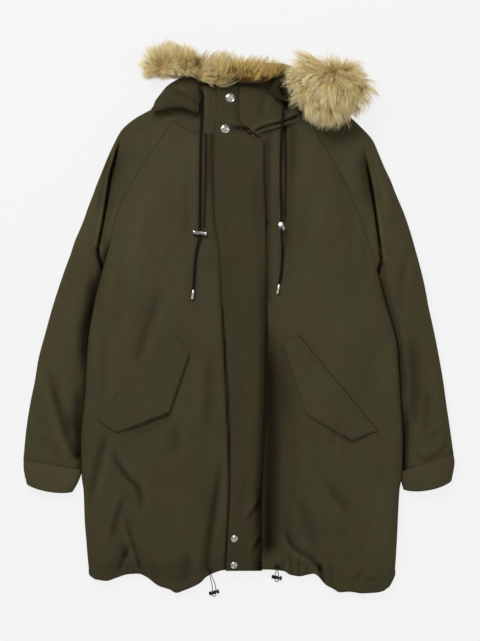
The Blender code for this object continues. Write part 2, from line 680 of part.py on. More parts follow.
def make_cuffs():
    for side, name in ((RIGHT, "cuff_right"), (LEFT, "cuff_left")):
        outer_rings, inner_rings = [], []
        near = np.array(SLEEVE_END_INNER[side], float)
        far = np.array((SLEEVE[side]["x"][-1], SLEEVE[side]["y"][-1]))
        across = (far - near) / np.linalg.norm(far - near)
        down = np.array((across[1], -across[0])) * side * CUFF_GAP
        rows = [(*(near + down), *(far + down), CUFF_TOP_HEIGHT)] + list(zip(*CUFF[side].values()))
        for x0, y0, x1, y1, height in rows:
            ends = np.array(((x0, y0), (x1, y1)), float)
            width = float(np.linalg.norm(ends[1] - ends[0]))
            across = (ends[1] - ends[0]) / width
            half = [(inset, height * share) for inset, share in zip(*CUFF_SECTION.values())]
            ring = half + [(width - inset, z) for inset, z in reversed(half)]
            line = np.array(ring)
            inner = line.copy()
            for i in range(len(line)):
                run, rise = line[(i + 1) % len(line)] - line[i - 1]
                inner[i] += CUFF_WALL * np.array((-rise, run)) / math.hypot(run, rise)
            for points, rings in ((line, outer_rings), (inner, inner_rings)):
                rings.append([(*(ends[0] + across * s), z) for s, z in points])
        tube_wall_object(name, outer_rings, inner_rings)


def blob_rings(rows):
    """Rounded sections along X: each is a flattened ring between its lowest and highest Y and Z."""
    rings = []
    for x, y0, y1, z0, z1 in zip(*rows.values()):
        ring = []
        for i in range(BLOB_CORNERS):
            angle = 2 * math.pi * (i + 0.5) / BLOB_CORNERS
            across, up = math.cos(angle), math.sin(angle)
            across = math.copysign(abs(across) ** BLOB_ROUNDNESS, across)
            up = math.copysign(abs(up) ** BLOB_ROUNDNESS, up)
            ring.append((x, (y0 + y1) / 2 + (y1 - y0) / 2 * across, (z0 + z1) / 2 + (z1 - z0) / 2 * up))
        rings.append(ring)
    return rings


def make_hood_and_fur():
    loft_object("hood_bag", blob_rings(HOOD_BAG))
    for side, name in ((RIGHT, "hood_side_right"), (LEFT, "hood_side_left")):
        loft_object(name, blob_rings(HOOD_SIDE[side]))
    for name, rows in FUR.items():
        loft_object(name, blob_rings(rows), "blond fur")


def surface_above(*solids):
    """Finds the height of the highest of some solids at a point."""
    trees = []
    for solid in solids:
        trees.append(BVHTree.FromPolygons(
            [vertex.co for vertex in solid.data.vertices],
            [polygon.vertices for polygon in solid.data.polygons],
        ))

    def height(x, y):
        found = [tree.ray_cast(Vector((x * MM, y * MM, 1)), Vector((0, 0, -1))) for tree in trees]
        return max(hit[0].z / MM for hit in found if hit[0])

    return height


def make_flaps(fronts):
    for side, name in ((RIGHT, "pocket_flap_right"), (LEFT, "pocket_flap_left")):
        height = surface_above(fronts[side])
        start, end = np.array(FLAP_TOP[side], float)
        outer, inner = [], []
        for share in FLAP_ROWS:
            row = []
            for column in FLAP_COLUMNS:
                top = start + (end - start) * column
                low = np.array([np.interp(column, FLAP_OUTLINE[side]["share"], FLAP_OUTLINE[side][k])
                                for k in ("x", "y")])
                x, y = top + (low - top) * share
                row.append((x, y, height(x, y) + FLAP_GAP))
            inner.append(row)
            outer.append([(x, y, z + FLAP_THICK) for x, y, z in row])
        wall_object(name, outer, inner)


def seat(height, x, y, radius, gap):
    """Where a round piece sits on a sloping surface: the centre of its base, and its axis."""
    west, east = height(x - radius, y), height(x + radius, y)
    south, north = height(x, y - radius), height(x, y + radius)
    axis = Vector((west - east, south - north, 2 * radius)).normalized()
    middle = max(height(x, y), (west + east) / 2, (south + north) / 2)
    return Vector((x, y, middle)) + axis * gap, axis


def make_snaps(placket):
    height = surface_above(placket)
    for number, (x, y, radius) in enumerate(zip(*SNAPS.values()), start=1):
        base, axis = seat(height, x, y, radius, 2 * SEAM_GAP)
        rings = [(radius * r, z) for r, z in zip(*SNAP_PROFILE.values())]
        turned_object(f"snap_{number}", rings, base, axis, 20, "silver metal")


def smooth_path(route, step):
    """Points at an even step along a smooth curve through the route's own points."""
    points = [Vector(point) for point in zip(*route.values())]
    ends = [2 * points[0] - points[1]] + points + [2 * points[-1] - points[-2]]
    fine = []
    for a, b, c, d in zip(ends, ends[1:], ends[2:], ends[3:]):
        for i in range(12):
            t = i / 12
            fine.append(0.5 * (2 * b + (c - a) * t + (2 * a - 5 * b + 4 * c - d) * t * t
                               + (3 * b - a - 3 * c + d) * t ** 3))
    fine.append(points[-1])
    lengths = np.cumsum([0] + [(b - a).length for a, b in zip(fine, fine[1:])])
    count = max(2, int(round(lengths[-1] / step)))
    places = np.linspace(0, lengths[-1], count + 1)
    return [[float(np.interp(s, lengths, [p[k] for p in fine])) for k in range(3)] for s in places]


def make_cord(name, path, diameter, sides):
    curve = bpy.data.curves.new(name, "CURVE")
    curve.dimensions = "3D"
    curve.bevel_depth = diameter / 2 * MM
    curve.bevel_resolution = sides
    curve.use_fill_caps = True
    spline = curve.splines.new("POLY")
    spline.points.add(len(path) - 1)
    for point, place in zip(spline.points, path):
        point.co = (*(value * MM for value in place), 1)
    add_object(name, curve, "dark cord")


def prism(centre, along, up, length, width, thick):
    """The corners and faces of a box with its own directions, for cutting a slot."""
    along, up = Vector(along).normalized(), Vector(up).normalized()
    across = along.cross(up)
    corners = []
    for i in (-0.5, 0.5):
        for j in (-0.5, 0.5):
            for k in (-0.5, 0.5):
                corners.append(Vector(centre) + along * length * i + across * width * j + up * thick * k)
    faces = [(0, 1, 3, 2), (4, 6, 7, 5), (0, 4, 5, 1), (2, 3, 7, 6), (0, 2, 6, 4), (1, 5, 7, 3)]
    return corners, faces


def bore(centre, along, length, diameter, sides=16):
    """The corners and faces of a round cutter."""
    turn = Vector((0, 0, 1)).rotation_difference(Vector(along).normalized())
    corners = []
    for end in (-0.5, 0.5):
        for i in range(sides):
            angle = 2 * math.pi * i / sides
            spot = Vector((diameter / 2 * math.cos(angle), diameter / 2 * math.sin(angle), end * length))
            corners.append(turn @ spot + Vector(centre))
    faces = [tuple(range(sides)), tuple(range(2 * sides - 1, sides - 1, -1))]
    faces += [(i, (i + 1) % sides, sides + (i + 1) % sides, sides + i) for i in range(sides)]
    return corners, faces


def barrel_rings(diameter, length):
    return [(diameter / 2 * radius, length * end + along)
            for radius, end, along in zip(*LOCK_PROFILE.values())]


def make_hood_cords():
    for side, name in ((RIGHT, "right"), (LEFT, "left")):
        path = smooth_path(HOOD_CORD[side], CORD_STEP * HOOD_CORD_D)
        make_cord(f"hood_cord_{name}", path, HOOD_CORD_D, 3)
        centre, axis = HOOD_LOCK[side]
        lock = turned_object(f"hood_lock_{name}", barrel_rings(LOCK_D, LOCK_LENGTH), centre, axis, 16,
                             "silver metal")
        cut(lock, *bore(centre, (0, -1, 0), 3 * LOCK_D, LOCK_BORE_D))
        turn = Vector(AGLET_TURN[side]).normalized()
        start = Vector(path[-1]) + turn * SEAM_GAP
        r = AGLET_D / 2
        rings = [(r, 0), (r, AGLET_LENGTH - 1), (0.7 * r, AGLET_LENGTH)]
        turned_object(f"aglet_{name}", rings, start, turn, 12, "silver metal")


def make_hem_cords(fronts):
    for side, name in ((RIGHT, "right"), (LEFT, "left")):
        rows = list(zip(*HEM_CORD[side].values()))
        down = [Vector((x - spread, y, z)) for x, y, z, spread in rows]
        back = [Vector((x + spread, y, z)) for x, y, z, spread in reversed(rows)]
        x, y, z, spread = rows[-1]
        turn = [Vector((x - spread * math.cos(a), y - spread * math.sin(a), z))
                for a in (math.pi / 4, math.pi / 2, 3 * math.pi / 4)]
        loop = down + turn + back
        route = {key: np.array([point[k] for point in loop]) for k, key in enumerate("xyz")}
        make_cord(f"hem_cord_{name}", smooth_path(route, CORD_STEP * HEM_CORD_D), HEM_CORD_D, 2)
        centre, axis = HEM_LOCK[side]
        lock = turned_object(f"hem_lock_{name}", barrel_rings(HEM_LOCK_D, HEM_LOCK_LENGTH), centre, axis,
                             16, "dark metal")
        cut(lock, *prism(centre, (0, 1, 0), (0, 0, 1), 3 * HEM_LOCK_D, *HEM_SLOT))
        x, y = HEM_EYELET[side]
        base, axis = seat(surface_above(fronts[side]), x, y, EYELET_RINGS[0][0], 2 * SEAM_GAP)
        eyelet = turned_object(f"hem_eyelet_{name}", EYELET_RINGS, base, axis, 16, "dark metal")
        cut(eyelet, *bore(base, axis, 10, EYELET_HOLE_D))


def build():
    fronts, grids = make_fronts()
    make_back()
    make_sleeves()
    make_cuffs()
    make_collar(grids)
    placket = make_placket()
    make_flaps(fronts)
    make_hood_and_fur()
    make_snaps(placket)
    make_hood_cords()
    make_hem_cords(fronts)


build()
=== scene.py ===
import math

import bmesh
import bpy
import numpy as np
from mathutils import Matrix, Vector
from mathutils.bvhtree import BVHTree


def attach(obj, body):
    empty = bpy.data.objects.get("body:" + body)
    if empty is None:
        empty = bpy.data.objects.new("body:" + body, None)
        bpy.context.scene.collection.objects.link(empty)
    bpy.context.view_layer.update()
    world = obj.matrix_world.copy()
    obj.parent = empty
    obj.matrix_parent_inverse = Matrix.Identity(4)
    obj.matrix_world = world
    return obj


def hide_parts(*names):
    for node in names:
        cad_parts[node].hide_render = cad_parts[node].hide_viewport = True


# Fur trimmed parka, laid on its back with its front up.
# Tables are in millimetres, hem towards -Y and hood towards +Y; left and right are the wearer's.

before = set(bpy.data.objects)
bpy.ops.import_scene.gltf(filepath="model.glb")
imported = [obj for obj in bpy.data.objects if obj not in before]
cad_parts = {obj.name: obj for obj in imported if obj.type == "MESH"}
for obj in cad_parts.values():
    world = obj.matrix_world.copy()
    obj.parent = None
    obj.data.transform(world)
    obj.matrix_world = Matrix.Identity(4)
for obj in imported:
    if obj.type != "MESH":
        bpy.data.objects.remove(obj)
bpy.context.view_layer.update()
scene = bpy.context.scene
scene.view_settings.view_transform = "Standard"
mm = 0.001
right, left = -1, 1
sideName = {right: "right", left: "left"}

studio = {
    "cameraHeight": 6.0, "viewTall": 1.218, "viewCentre": -0.95 * mm, "sensor": 36.0, "focusPlane": 0.03,
    "floorColour": "#4C4C4C", "floorGlow": 0.838, "floorReach": 8, "floorRoughness": 0.9, "floorShine": 0.1,
    "skyColour": "#FFFFFF", "skyStrength": 0.44,
    "keyPlace": (-0.9, 1.7, 2.3), "keySize": 1.3, "keyPower": 52.0,
    "fillPlace": (2.0, 0.1, 2.4), "fillSize": 1.2, "fillPower": 8.0,
}


def colourOf(code):
    # a colour code as the linear colour that Blender reckons with
    channels = [int(code[i:i + 2], 16) / 255 for i in (1, 3, 5)]
    return (*(c / 12.92 if c <= 0.04045 else ((c + 0.055) / 1.055) ** 2.4 for c in channels), 1)


def setInputs(tree, node, inputs):
    # an input is given as a fixed value, or as the output of another node
    for socket, value in inputs.items():
        if isinstance(value, bpy.types.NodeSocket):
            tree.links.new(value, node.inputs[socket])
        else:
            node.inputs[socket].default_value = value


def addNode(tree, kind, inputs=None, **settings):
    node = tree.nodes.new(kind)
    for name, value in settings.items():
        setattr(node, name, value)
    setInputs(tree, node, inputs or {})
    return node


def addMath(tree, operation, a, b):
    return addNode(tree, "ShaderNodeMath", {0: a, 1: b}, operation=operation).outputs[0]


def addVector(tree, operation, a, b=None, scale=None):
    given = {socket: value for socket, value in ((0, a), (1, b), ("Scale", scale)) if value is not None}
    node = addNode(tree, "ShaderNodeVectorMath", given, operation=operation)
    return node.outputs["Value" if operation == "LENGTH" else "Vector"]


def addMix(tree, factor, below, above, blend="MIX"):
    given = {"Factor": factor, "A": below, "B": above}
    return addNode(tree, "ShaderNodeMix", given, data_type="RGBA", blend_type=blend).outputs["Result"]


def addNoise(tree, place, scale, detail, roughness=0.5):
    given = {"Vector": place, "Scale": scale, "Detail": detail, "Roughness": roughness}
    return addNode(tree, "ShaderNodeTexNoise", given).outputs


def addBump(tree, height, strength, distance):
    return addNode(tree, "ShaderNodeBump", {"Height": height, "Strength": strength, "Distance": distance})


def addRamp(tree, value, stops):
    # a colour for each value, between stops of a place and a colour
    node = addNode(tree, "ShaderNodeValToRGB", {"Fac": value})
    elements = node.color_ramp.elements
    while len(elements) < len(stops):
        elements.new(0.5)
    for element, (place, code) in zip(elements, stops):
        element.position, element.color = place, colourOf(code)
    return node.outputs["Color"]


def newTree(name, inputs):
    # an empty tree of geometry nodes, its inputs' sockets and its output
    tree = bpy.data.node_groups.new(name, "GeometryNodeTree")
    for label, kind in inputs:
        tree.interface.new_socket(label, in_out="INPUT", socket_type="NodeSocket" + kind)
    tree.interface.new_socket("Geometry", in_out="OUTPUT", socket_type="NodeSocketGeometry")
    return tree, tree.nodes.new("NodeGroupInput").outputs, tree.nodes.new("NodeGroupOutput")


def freshMaterial(name):
    material = bpy.data.materials.new(name)
    material.use_nodes = True
    tree = material.node_tree
    return material, tree, tree.nodes["Principled BSDF"]


def makeCamera():
    data = bpy.data.cameras.new("studioCamera")
    data.sensor_width = studio["sensor"]
    data.lens = studio["sensor"] * (studio["cameraHeight"] - studio["focusPlane"]) / studio["viewTall"]
    data.dof.use_dof = False
    camera = bpy.data.objects.new("studioCamera", data)
    camera.location = (0, studio["viewCentre"], studio["cameraHeight"])
    scene.collection.objects.link(camera)
    scene.camera = camera


def addLight(name, place, size, power):
    data = bpy.data.lights.new(name, "AREA")
    data.shape = "DISK"
    data.size = size
    data.energy = power
    light = bpy.data.objects.new(name, data)
    light.location = place
    light.rotation_euler = (Vector((0, 0, 0)) - Vector(place)).to_track_quat("-Z", "Y").to_euler()
    scene.collection.objects.link(light)


def makeStudio():
    world = bpy.data.worlds.new("softSky")
    world.use_nodes = True
    sky = world.node_tree.nodes["Background"]
    light = {"Color": colourOf(studio["skyColour"]), "Strength": studio["skyStrength"]}
    setInputs(world.node_tree, sky, light)
    scene.world = world
    addLight("keyLight", studio["keyPlace"], studio["keySize"], studio["keyPower"])
    addLight("fillLight", studio["fillPlace"], studio["fillSize"], studio["fillPower"])
    mesh = bpy.data.meshes.new("studioFloor")
    far = studio["floorReach"]
    mesh.from_pydata([(-far, -far, 0), (far, -far, 0), (far, far, 0), (-far, far, 0)], [], [(0, 1, 2, 3)])
    floor = bpy.data.objects.new("studioFloor", mesh)
    scene.collection.objects.link(floor)
    material, tree, shader = freshMaterial("paleFloor")
    setInputs(tree, shader, {
        "Base Color": colourOf(studio["floorColour"]), "Roughness": studio["floorRoughness"],
        "Specular IOR Level": studio["floorShine"], "Emission Color": (1, 1, 1, 1),
        "Emission Strength": studio["floorGlow"],
    })
    mesh.materials.append(material)


makeCamera()
makeStudio()
print("camera, light and floor ready")


# tables and curves that every piece uses
def columns(names, rows):
    return {name: np.array(values, float) for name, values in zip(names.split(), zip(*rows))}


def through(keys, values, at):
    # a smooth line through the table's points that never swings past them
    keys, values = np.asarray(keys, float), np.asarray(values, float)
    order = np.argsort(keys, kind="stable")
    keys, values = keys[order], values[order]
    at = np.clip(at, keys[0], keys[-1])
    step = np.diff(keys)
    rise = np.diff(values) / step
    slope = np.zeros(len(keys))
    slope[0], slope[-1] = rise[0], rise[-1]
    before, after = rise[:-1], rise[1:]
    same = before * after > 0
    slope[1:-1][same] = 2 * before[same] * after[same] / (before[same] + after[same])
    i = np.clip(np.searchsorted(keys, at, side="right") - 1, 0, len(keys) - 2)
    t = (at - keys[i]) / step[i]
    return ((2 * t ** 3 - 3 * t ** 2 + 1) * values[i] + (t ** 3 - 2 * t ** 2 + t) * step[i] * slope[i]
            + (3 * t ** 2 - 2 * t ** 3) * values[i + 1] + (t ** 3 - t ** 2) * step[i] * slope[i + 1])


def roundThrough(points, at):
    # a Catmull-Rom curve through points, read at places given in point numbers
    points = np.asarray(points, float)
    points = points.reshape(len(points), -1)
    padded = np.vstack([2 * points[0] - points[1], points, 2 * points[-1] - points[-2]])
    at = np.asarray(at, float)
    i = np.clip(at.astype(int), 0, len(points) - 2)
    t = (at - i)[:, None]
    a, b, c, d = padded[i], padded[i + 1], padded[i + 2], padded[i + 3]
    bends = (2 * a - 5 * b + 4 * c - d) * t * t + (3 * b - a - 3 * c + d) * t ** 3
    found = 0.5 * (2 * b + (c - a) * t + bends)
    return found[:, 0] if found.shape[1] == 1 else found


def runningLength(path):
    # how far along the path each of its points is
    return np.concatenate([[0], np.cumsum(np.linalg.norm(np.diff(path, axis=0), axis=1))])


def evenPath(points, step, samples=16):
    # the smooth line through points, in even steps
    fine = roundThrough(points, np.linspace(0, len(points) - 1, samples * (len(points) - 1) + 1))
    gone = runningLength(fine)
    places = np.linspace(0, gone[-1], max(2, int(round(gone[-1] / step))) + 1)
    return np.stack([np.interp(places, gone, fine[:, k]) for k in range(fine.shape[1])], axis=1)


def smoothRun(share):
    # from 0 to 1, with a soft start and end
    share = np.clip(share, 0, 1)
    return share * share * (3 - 2 * share)


def bell(distance, width):
    # 1 at no distance, and soon 0 past the width
    return np.exp(-(distance / width) ** 2)


def roundedRing(corners, roundness):
    # a ring from -1 to 1 each way: an ellipse at a roundness of 1, and more of a box below it
    angle = 2 * np.pi * (np.arange(corners) + 0.5) / corners
    across = np.sign(np.cos(angle)) * np.abs(np.cos(angle)) ** roundness
    up = np.sign(np.sin(angle)) * np.abs(np.sin(angle)) ** roundness
    return across, up


def ringGrid(x, y0, y1, z0, z1, sizes, across, up):
    # rings along X, each between its low and high edges
    return np.stack([
        np.repeat(x[:, None], len(up), axis=1),
        ((y0 + y1) / 2)[:, None] + ((y1 - y0) / 2 * sizes)[:, None] * across,
        ((z0 + z1) / 2)[:, None] + ((z1 - z0) / 2 * sizes)[:, None] * up,
    ], axis=2)


# Body rows, from the neck seam to the hem: how much of the neck's and the hem's curve a row takes,
# the height of the front there, and its height at the raglan seam.
bodyRows = columns("y neck hem height seam", (
    (353, 1, 0, 32, 27), (340, 0.85, 0, 33, 27), (319, 0.6, 0, 34, 28),
    (294, 0.35, 0, 35, 28), (270, 0.15, 0, 36, 28), (247, 0, 0, 36, 28),
    (222, 0, 0, 36, 27), (201, 0, 0, 36, 27), (180, 0, 0, 36, 26),
    (160, 0, 0, 36, 26), (141, 0, 0, 36, 26), (120, 0, 0, 36, 25),
    (95, 0, 0, 35, 25), (66, 0, 0, 35, 25), (38, 0, 0, 35, 25),
    (0, 0, 0, 34, 25), (-38, 0, 0, 34, 25), (-86, 0, 0, 33, 25),
    (-133, 0, 0, 33, 25), (-171, 0, 0, 32, 25), (-209, 0, 0, 32, 25),
    (-247, 0, 0, 31, 25), (-285, 0, 0, 31, 25), (-323, 0, 0.1, 30, 25),
    (-361, 0, 0.25, 29, 25), (-390, 0, 0.42, 27, 25), (-418, 0, 0.62, 25, 25),
    (-441, 0, 0.8, 22, 25), (-460, 0, 0.93, 18, 25), (-476, 0, 1, 14, 25),
))
# The raglan seam down to the armpit, then the body's side.
sideLine = {
    right: columns("y x", (
        (382, -127), (354, -144), (270, -199), (202, -234), (160, -245), (120, -255), (95, -262),
        (38, -276), (-38, -289), (-152, -296), (-228, -303), (-294, -302), (-327, -298),
        (-380, -296), (-418, -293), (-464, -289), (-488, -284),
    )),
    left: columns("y x", (
        (384, 133), (352, 148), (314, 171), (270, 196), (213, 220), (171, 237), (125, 252),
        (99, 260), (38, 276), (-53, 300), (-152, 306), (-228, 310), (-294, 309), (-323, 304),
        (-418, 299), (-484, 294), (-505, 288),
    )),
}
hemLine = columns("x y", (
    (-290, -480), (-283, -489), (-270, -496), (-255, -498), (-236, -492), (-213, -485),
    (-194, -484), (-179, -490), (-156, -507), (-133, -515), (-122, -521), (-106, -516),
    (-76, -502), (-65, -491), (-53, -484), (-30, -477), (-8, -476), (49, -476), (84, -479),
    (95, -486), (114, -489), (129, -486), (141, -484), (148, -488), (163, -505), (179, -514),
    (190, -520), (209, -519), (232, -522), (255, -521), (272, -518), (285, -507), (296, -484),
))
placketLine = columns("y right left", (
    (445, -44, -2), (380, -46, -2), (340, -49, 46), (270, -49, 46), (194, -48, 49),
    (129, -38, 50), (49, -34, 51), (0, -30, 53), (-152, -19, 50), (-266, -17, 45),
    (-342, -19, 42), (-476, -27, 42),
))
armpit = {right: (160, 110), left: (105, 55)}  # where the raglan seam starts to open, and where it is open
neckY, hemY, neckHeight = 353.0, -476.0, 32
neckRise = {right: (29, 3.3), left: (31, 1.2)}
seamGap, rimHeight = 0.3, 2.8
# How an edge rounds down: the distance from it where it is sewn and where it is open, and the share of
# the height; of the body's side, then of the inner and the outer edge of a sleeve.
sideRoll = columns("sewn rolled height", (
    (0, 14, 0), (3, 5, 0.17), (6, 0, 0.46), (10, 4, 0.74), (22, 16, 0.92)))
innerRoll = columns("sewn rolled height", (
    (0, 5, 0), (3, 1, 0.06), (6, 0, 0.14), (10, 4, 0.34), (22, 15, 0.72)))
outerRoll = columns("sewn rolled height", (
    (0, 8, 0), (3, 2, 0.18), (6, 0, 0.46), (10, 4, 0.74), (20, 15, 0.93)))
# Sleeve rows: the outer end, and the height of the row's middle.
sleeveRows = {
    right: columns("x y height", (
        (-162, 405, 25), (-179, 396, 26), (-203, 382, 28), (-226, 361, 29), (-240, 336, 30), (-252, 310, 30),
        (-263, 283, 30), (-273, 258, 30), (-281, 236, 30), (-290, 213, 30), (-296, 195, 30), (-304, 175, 30),
        (-314, 152, 29), (-324, 122, 29), (-334, 95, 29), (-347, 57, 28), (-358, 22, 28), (-371, -25, 27),
        (-384, -74, 26), (-391, -116, 25), (-400, -160, 24), (-408, -213, 22), (-413, -266, 21),
    )),
    left: columns("x y height", (
        (165, 405, 25), (182, 398, 26), (207, 388, 28), (232, 366, 29), (253, 342, 30), (265, 315, 30),
        (276, 289, 30), (287, 266, 30), (295, 245, 30), (303, 226, 30), (311, 207, 30), (318, 188, 30),
        (326, 163, 29), (334, 135, 29), (342, 106, 29), (352, 65, 28), (359, 27, 28), (370, -23, 27),
        (380, -74, 26), (387, -114, 25), (393, -158, 24), (400, -205, 22), (407, -254, 21),
    )),
}
sleeveEndInner = {right: (-300, -286), left: (307, -288)}


def openness(side, y):
    top, low = armpit[side]
    return smoothRun((top - y) / (top - low))


def sideX(side, y):
    return through(sideLine[side]["y"], sideLine[side]["x"], y)


def placketEdge(side, y):
    return np.interp(y, placketLine["y"][::-1], placketLine["right" if side == right else "left"][::-1])


def zipX(y):
    return (placketEdge(right, y) + placketEdge(left, y)) / 2


# folds
# Each fold: its line, half width, depth, how sharp its valley is (0 soft, 1 a crease), the height
# of the ridge beside it (plus is on the left as the line runs), how much shade is painted in its
# valley (below nought, light is painted there instead), and the share of its length that it takes
# to fade in and out.
# how strongly the folds' shade is painted, how far it spreads, and how much light is painted on their ridges
foldShade = 1.3
foldSpread = 1.25
foldLight = 0.4  # how much paler a ridge is, against its valley's darkness


def nearestOn(path, spots):
    # each spot's distance from the path, how far along it that is, and on which side
    starts, runs = path[:-1], np.diff(path, axis=0)
    lengths, gone = np.linalg.norm(runs, axis=1), runningLength(path)
    best = np.full(len(spots), 1e9)
    sign, place = np.ones(len(spots)), np.zeros(len(spots))
    for start, run, length, before in zip(starts, runs, lengths, gone):
        offset = spots - start
        t = np.clip(offset @ run / length ** 2, 0, 1)
        apart = np.linalg.norm(offset - t[:, None] * run, axis=1)
        closer = apart < best
        best[closer] = apart[closer]
        place[closer] = (before + t[closer] * length) / gone[-1]
        sign[closer] = np.sign(run[0] * offset[closer, 1] - run[1] * offset[closer, 0])
    return best, place, sign


def foldField(x, y, rows):
    # how far the folds raise each place, and how much shade (or on a ridge, light) they paint on it
    rise, dark = np.zeros_like(x), np.zeros_like(x)
    for line, width, depth, sharp, ridge, shade, fadeIn, fadeOut in rows:
        path = evenPath(line, 5.0) if len(line) > 2 else np.array(line, float)
        width = width * foldSpread
        reach = 3.2 * width + abs(ridge) * 2
        near = ((x > path[:, 0].min() - reach) & (x < path[:, 0].max() + reach)
                & (y > path[:, 1].min() - reach) & (y < path[:, 1].max() + reach))
        if not near.any():
            continue
        gap, place, sign = nearestOn(path, np.stack([x[near], y[near]], axis=1))
        fade = smoothRun(place / fadeIn if fadeIn else 1.0)
        fade = fade * smoothRun((1 - place) / fadeOut if fadeOut else 1.0)
        valley = (1 - sharp) * bell(gap, width) + sharp * np.exp(-gap / (0.55 * width))
        change, crest = -depth * valley, 0
        if ridge:
            crest = bell(gap * sign * np.sign(ridge) - 1.7 * width, 1.1 * width)
            change += abs(ridge) * crest
        rise[near] += change * fade
        dark[near] += foldShade * shade * (valley - foldLight * crest) * fade
    return rise, dark


# the count, the shortest and longest wave, and the height of the broad swells and the small ripples
ripple = {"seed": 7, "turns": (-0.5, 0.9), "waves": ((16, 70, 170, 0.42), (18, 18, 42, 0.17))}


def makeWaves():
    dice = np.random.default_rng(ripple["seed"])
    waves = []
    for count, shortest, longest, rise in ripple["waves"]:
        for _ in range(count):
            angle, length = dice.uniform(*ripple["turns"]), dice.uniform(shortest, longest)
            waves.append((2 * math.pi * math.cos(angle) / length, 2 * math.pi * math.sin(angle) / length,
                          dice.uniform(0, 6.28), rise * dice.uniform(0.5, 1.2)))
    return waves


clothWaves = makeWaves()


def waveField(x, y):
    # the cloth's broad swells and its small ripples
    return sum(rise * np.sin(kx * x + ky * y + phase) for kx, ky, phase, rise in clothWaves)


# cloth pieces
surfaceOf, cutOf, made = {}, {}, {}
shell = {
    "thickness": 1.6, "cuffThickness": 2.2, "backThickness": 2.0, "hoodThickness": 1.4, "flapThickness": 1.0,
}
floorGap = 0.05  # how far the lowest cloth stays above the floor
# painted shade that darkens some whole pieces (or, below nought, painted light that makes them paler)
piecePaintedShade = {
    "placket": 0.2, "hood_side_right": 0.16, "hood_side_left": 0.62, "collar_right": 0.08, "collar_left": 0.1,
    "cuff_right": -0.35, "cuff_left": -0.15, "sleeve_front_left": -0.03, "sleeve_front_right": -0.07,
}


def resultOf(obj):
    graph = bpy.context.evaluated_depsgraph_get()
    shown = obj.evaluated_get(graph)
    return bpy.data.meshes.new_from_object(shown, preserve_all_data_layers=True, depsgraph=graph)


def settle(obj):
    # the piece as a plain mesh, with its modifiers' result in it
    mesh = resultOf(obj)
    obj.modifiers.clear()
    old = obj.data
    obj.data = mesh
    bpy.data.meshes.remove(old)
    mesh.name = obj.name


def linkMesh(name, points, faces):
    mesh = bpy.data.meshes.new(name)
    mesh.from_pydata((np.asarray(points) * mm).tolist(), [], faces)
    mesh.update()
    obj = bpy.data.objects.new(name + "_look", mesh)
    scene.collection.objects.link(obj)
    made[name] = obj
    return obj


def gridFaces(rows, count, wrap=False):
    a = (np.arange(rows - 1)[:, None] * count + np.arange(count if wrap else count - 1)[None, :])
    b = a - a % count + (a % count + 1) % count
    return np.stack([a, b, b + count, a + count], axis=-1).reshape(-1, 4)


def faceOutwards(obj):
    shape = bmesh.new()
    shape.from_mesh(obj.data)
    bmesh.ops.recalc_face_normals(shape, faces=shape.faces)
    shape.to_mesh(obj.data)
    shape.free()


def storeValues(mesh, name, values):
    # a number or a vector at each point, which materials and node trees read by its name
    values = np.asarray(values, np.float32)
    kind, key = ("FLOAT", "value") if values.ndim == 1 else ("FLOAT_VECTOR", "vector")
    mesh.attributes.new(name, kind, "POINT").data.foreach_set(key, values.reshape(-1))


def storePlaces(mesh, name, places):
    # a texture map with one place for each point
    loops = np.empty(len(mesh.loops), np.int32)
    mesh.loops.foreach_get("vertex_index", loops)
    mesh.uv_layers.new(name=name).data.foreach_set("uv", places[loops].astype(np.float32).reshape(-1))


def clothPiece(name, grid, thickness, material, dark=None, wrap=False, facing="up"):
    # a cloth wall from a grid of points on its outer side, with the shade painted at each point (below
    # nought, painted light)
    grid = np.asarray(grid, float)
    rows, count = grid.shape[:2]
    points = grid.reshape(-1, 3)
    faces = gridFaces(rows, count, wrap)
    a, b, c, d = (points[faces[:, k]] for k in range(4))
    turn = np.cross(c - a, d - b)
    if facing == "out":
        middles = grid.mean(axis=1)[faces[:, 0] // count]
        away = np.einsum("ij,ij->i", turn, (a + b + c + d) / 4 - middles).sum()
    else:
        away = turn[:, 2].sum() * (1 if facing == "up" else -1)
    if away < 0:
        faces = faces[:, ::-1]
    obj = linkMesh(name, points, faces.tolist())
    mesh = obj.data
    mesh.shade_smooth()
    across = np.cumsum(np.linalg.norm(np.diff(grid, axis=1), axis=2), axis=1)
    across = np.concatenate([np.zeros((rows, 1)), across], axis=1)
    along = np.cumsum(np.linalg.norm(np.diff(grid, axis=0), axis=2), axis=0)
    along = np.concatenate([np.zeros((1, count)), along], axis=0)
    storePlaces(mesh, "cloth", np.stack([across.reshape(-1), along.reshape(-1)], axis=1) * mm)
    shade = np.zeros(len(points)) if dark is None else np.asarray(dark, float).reshape(-1)
    # the painted shade and painted light go to the colour as one stored value
    storeValues(mesh, "paintedShadeAndLight", np.clip(shade + piecePaintedShade.get(name, 0), -1, 1))
    area = np.linalg.norm(turn, axis=1).sum() / 2
    cutOf[name] = (across[:, -1].max() * mm, along[-1].max() * mm, area * mm * mm)
    surfaceOf[name] = BVHTree.FromPolygons(points.tolist(), faces.tolist())
    wall = obj.modifiers.new("cloth wall", "SOLIDIFY")
    wall.thickness = thickness * mm
    wall.offset = -1
    mesh.materials.append(material)
    settle(obj)
    obj.data.set_sharp_from_angle(angle=math.radians(50))


def castOn(name, x, y, below=False):
    # where a straight line down (or from below, up) meets a piece, and the way that the cloth faces
    start, way = (-50, 1) if below else (400, -1)
    return surfaceOf[name].ray_cast(Vector((float(x), float(y), start)), Vector((0, 0, way)))[:2]


def heightAt(x, y, *names):
    hits = [castOn(name, x, y)[0] for name in names]
    return max([0.0] + [hit.z for hit in hits if hit])


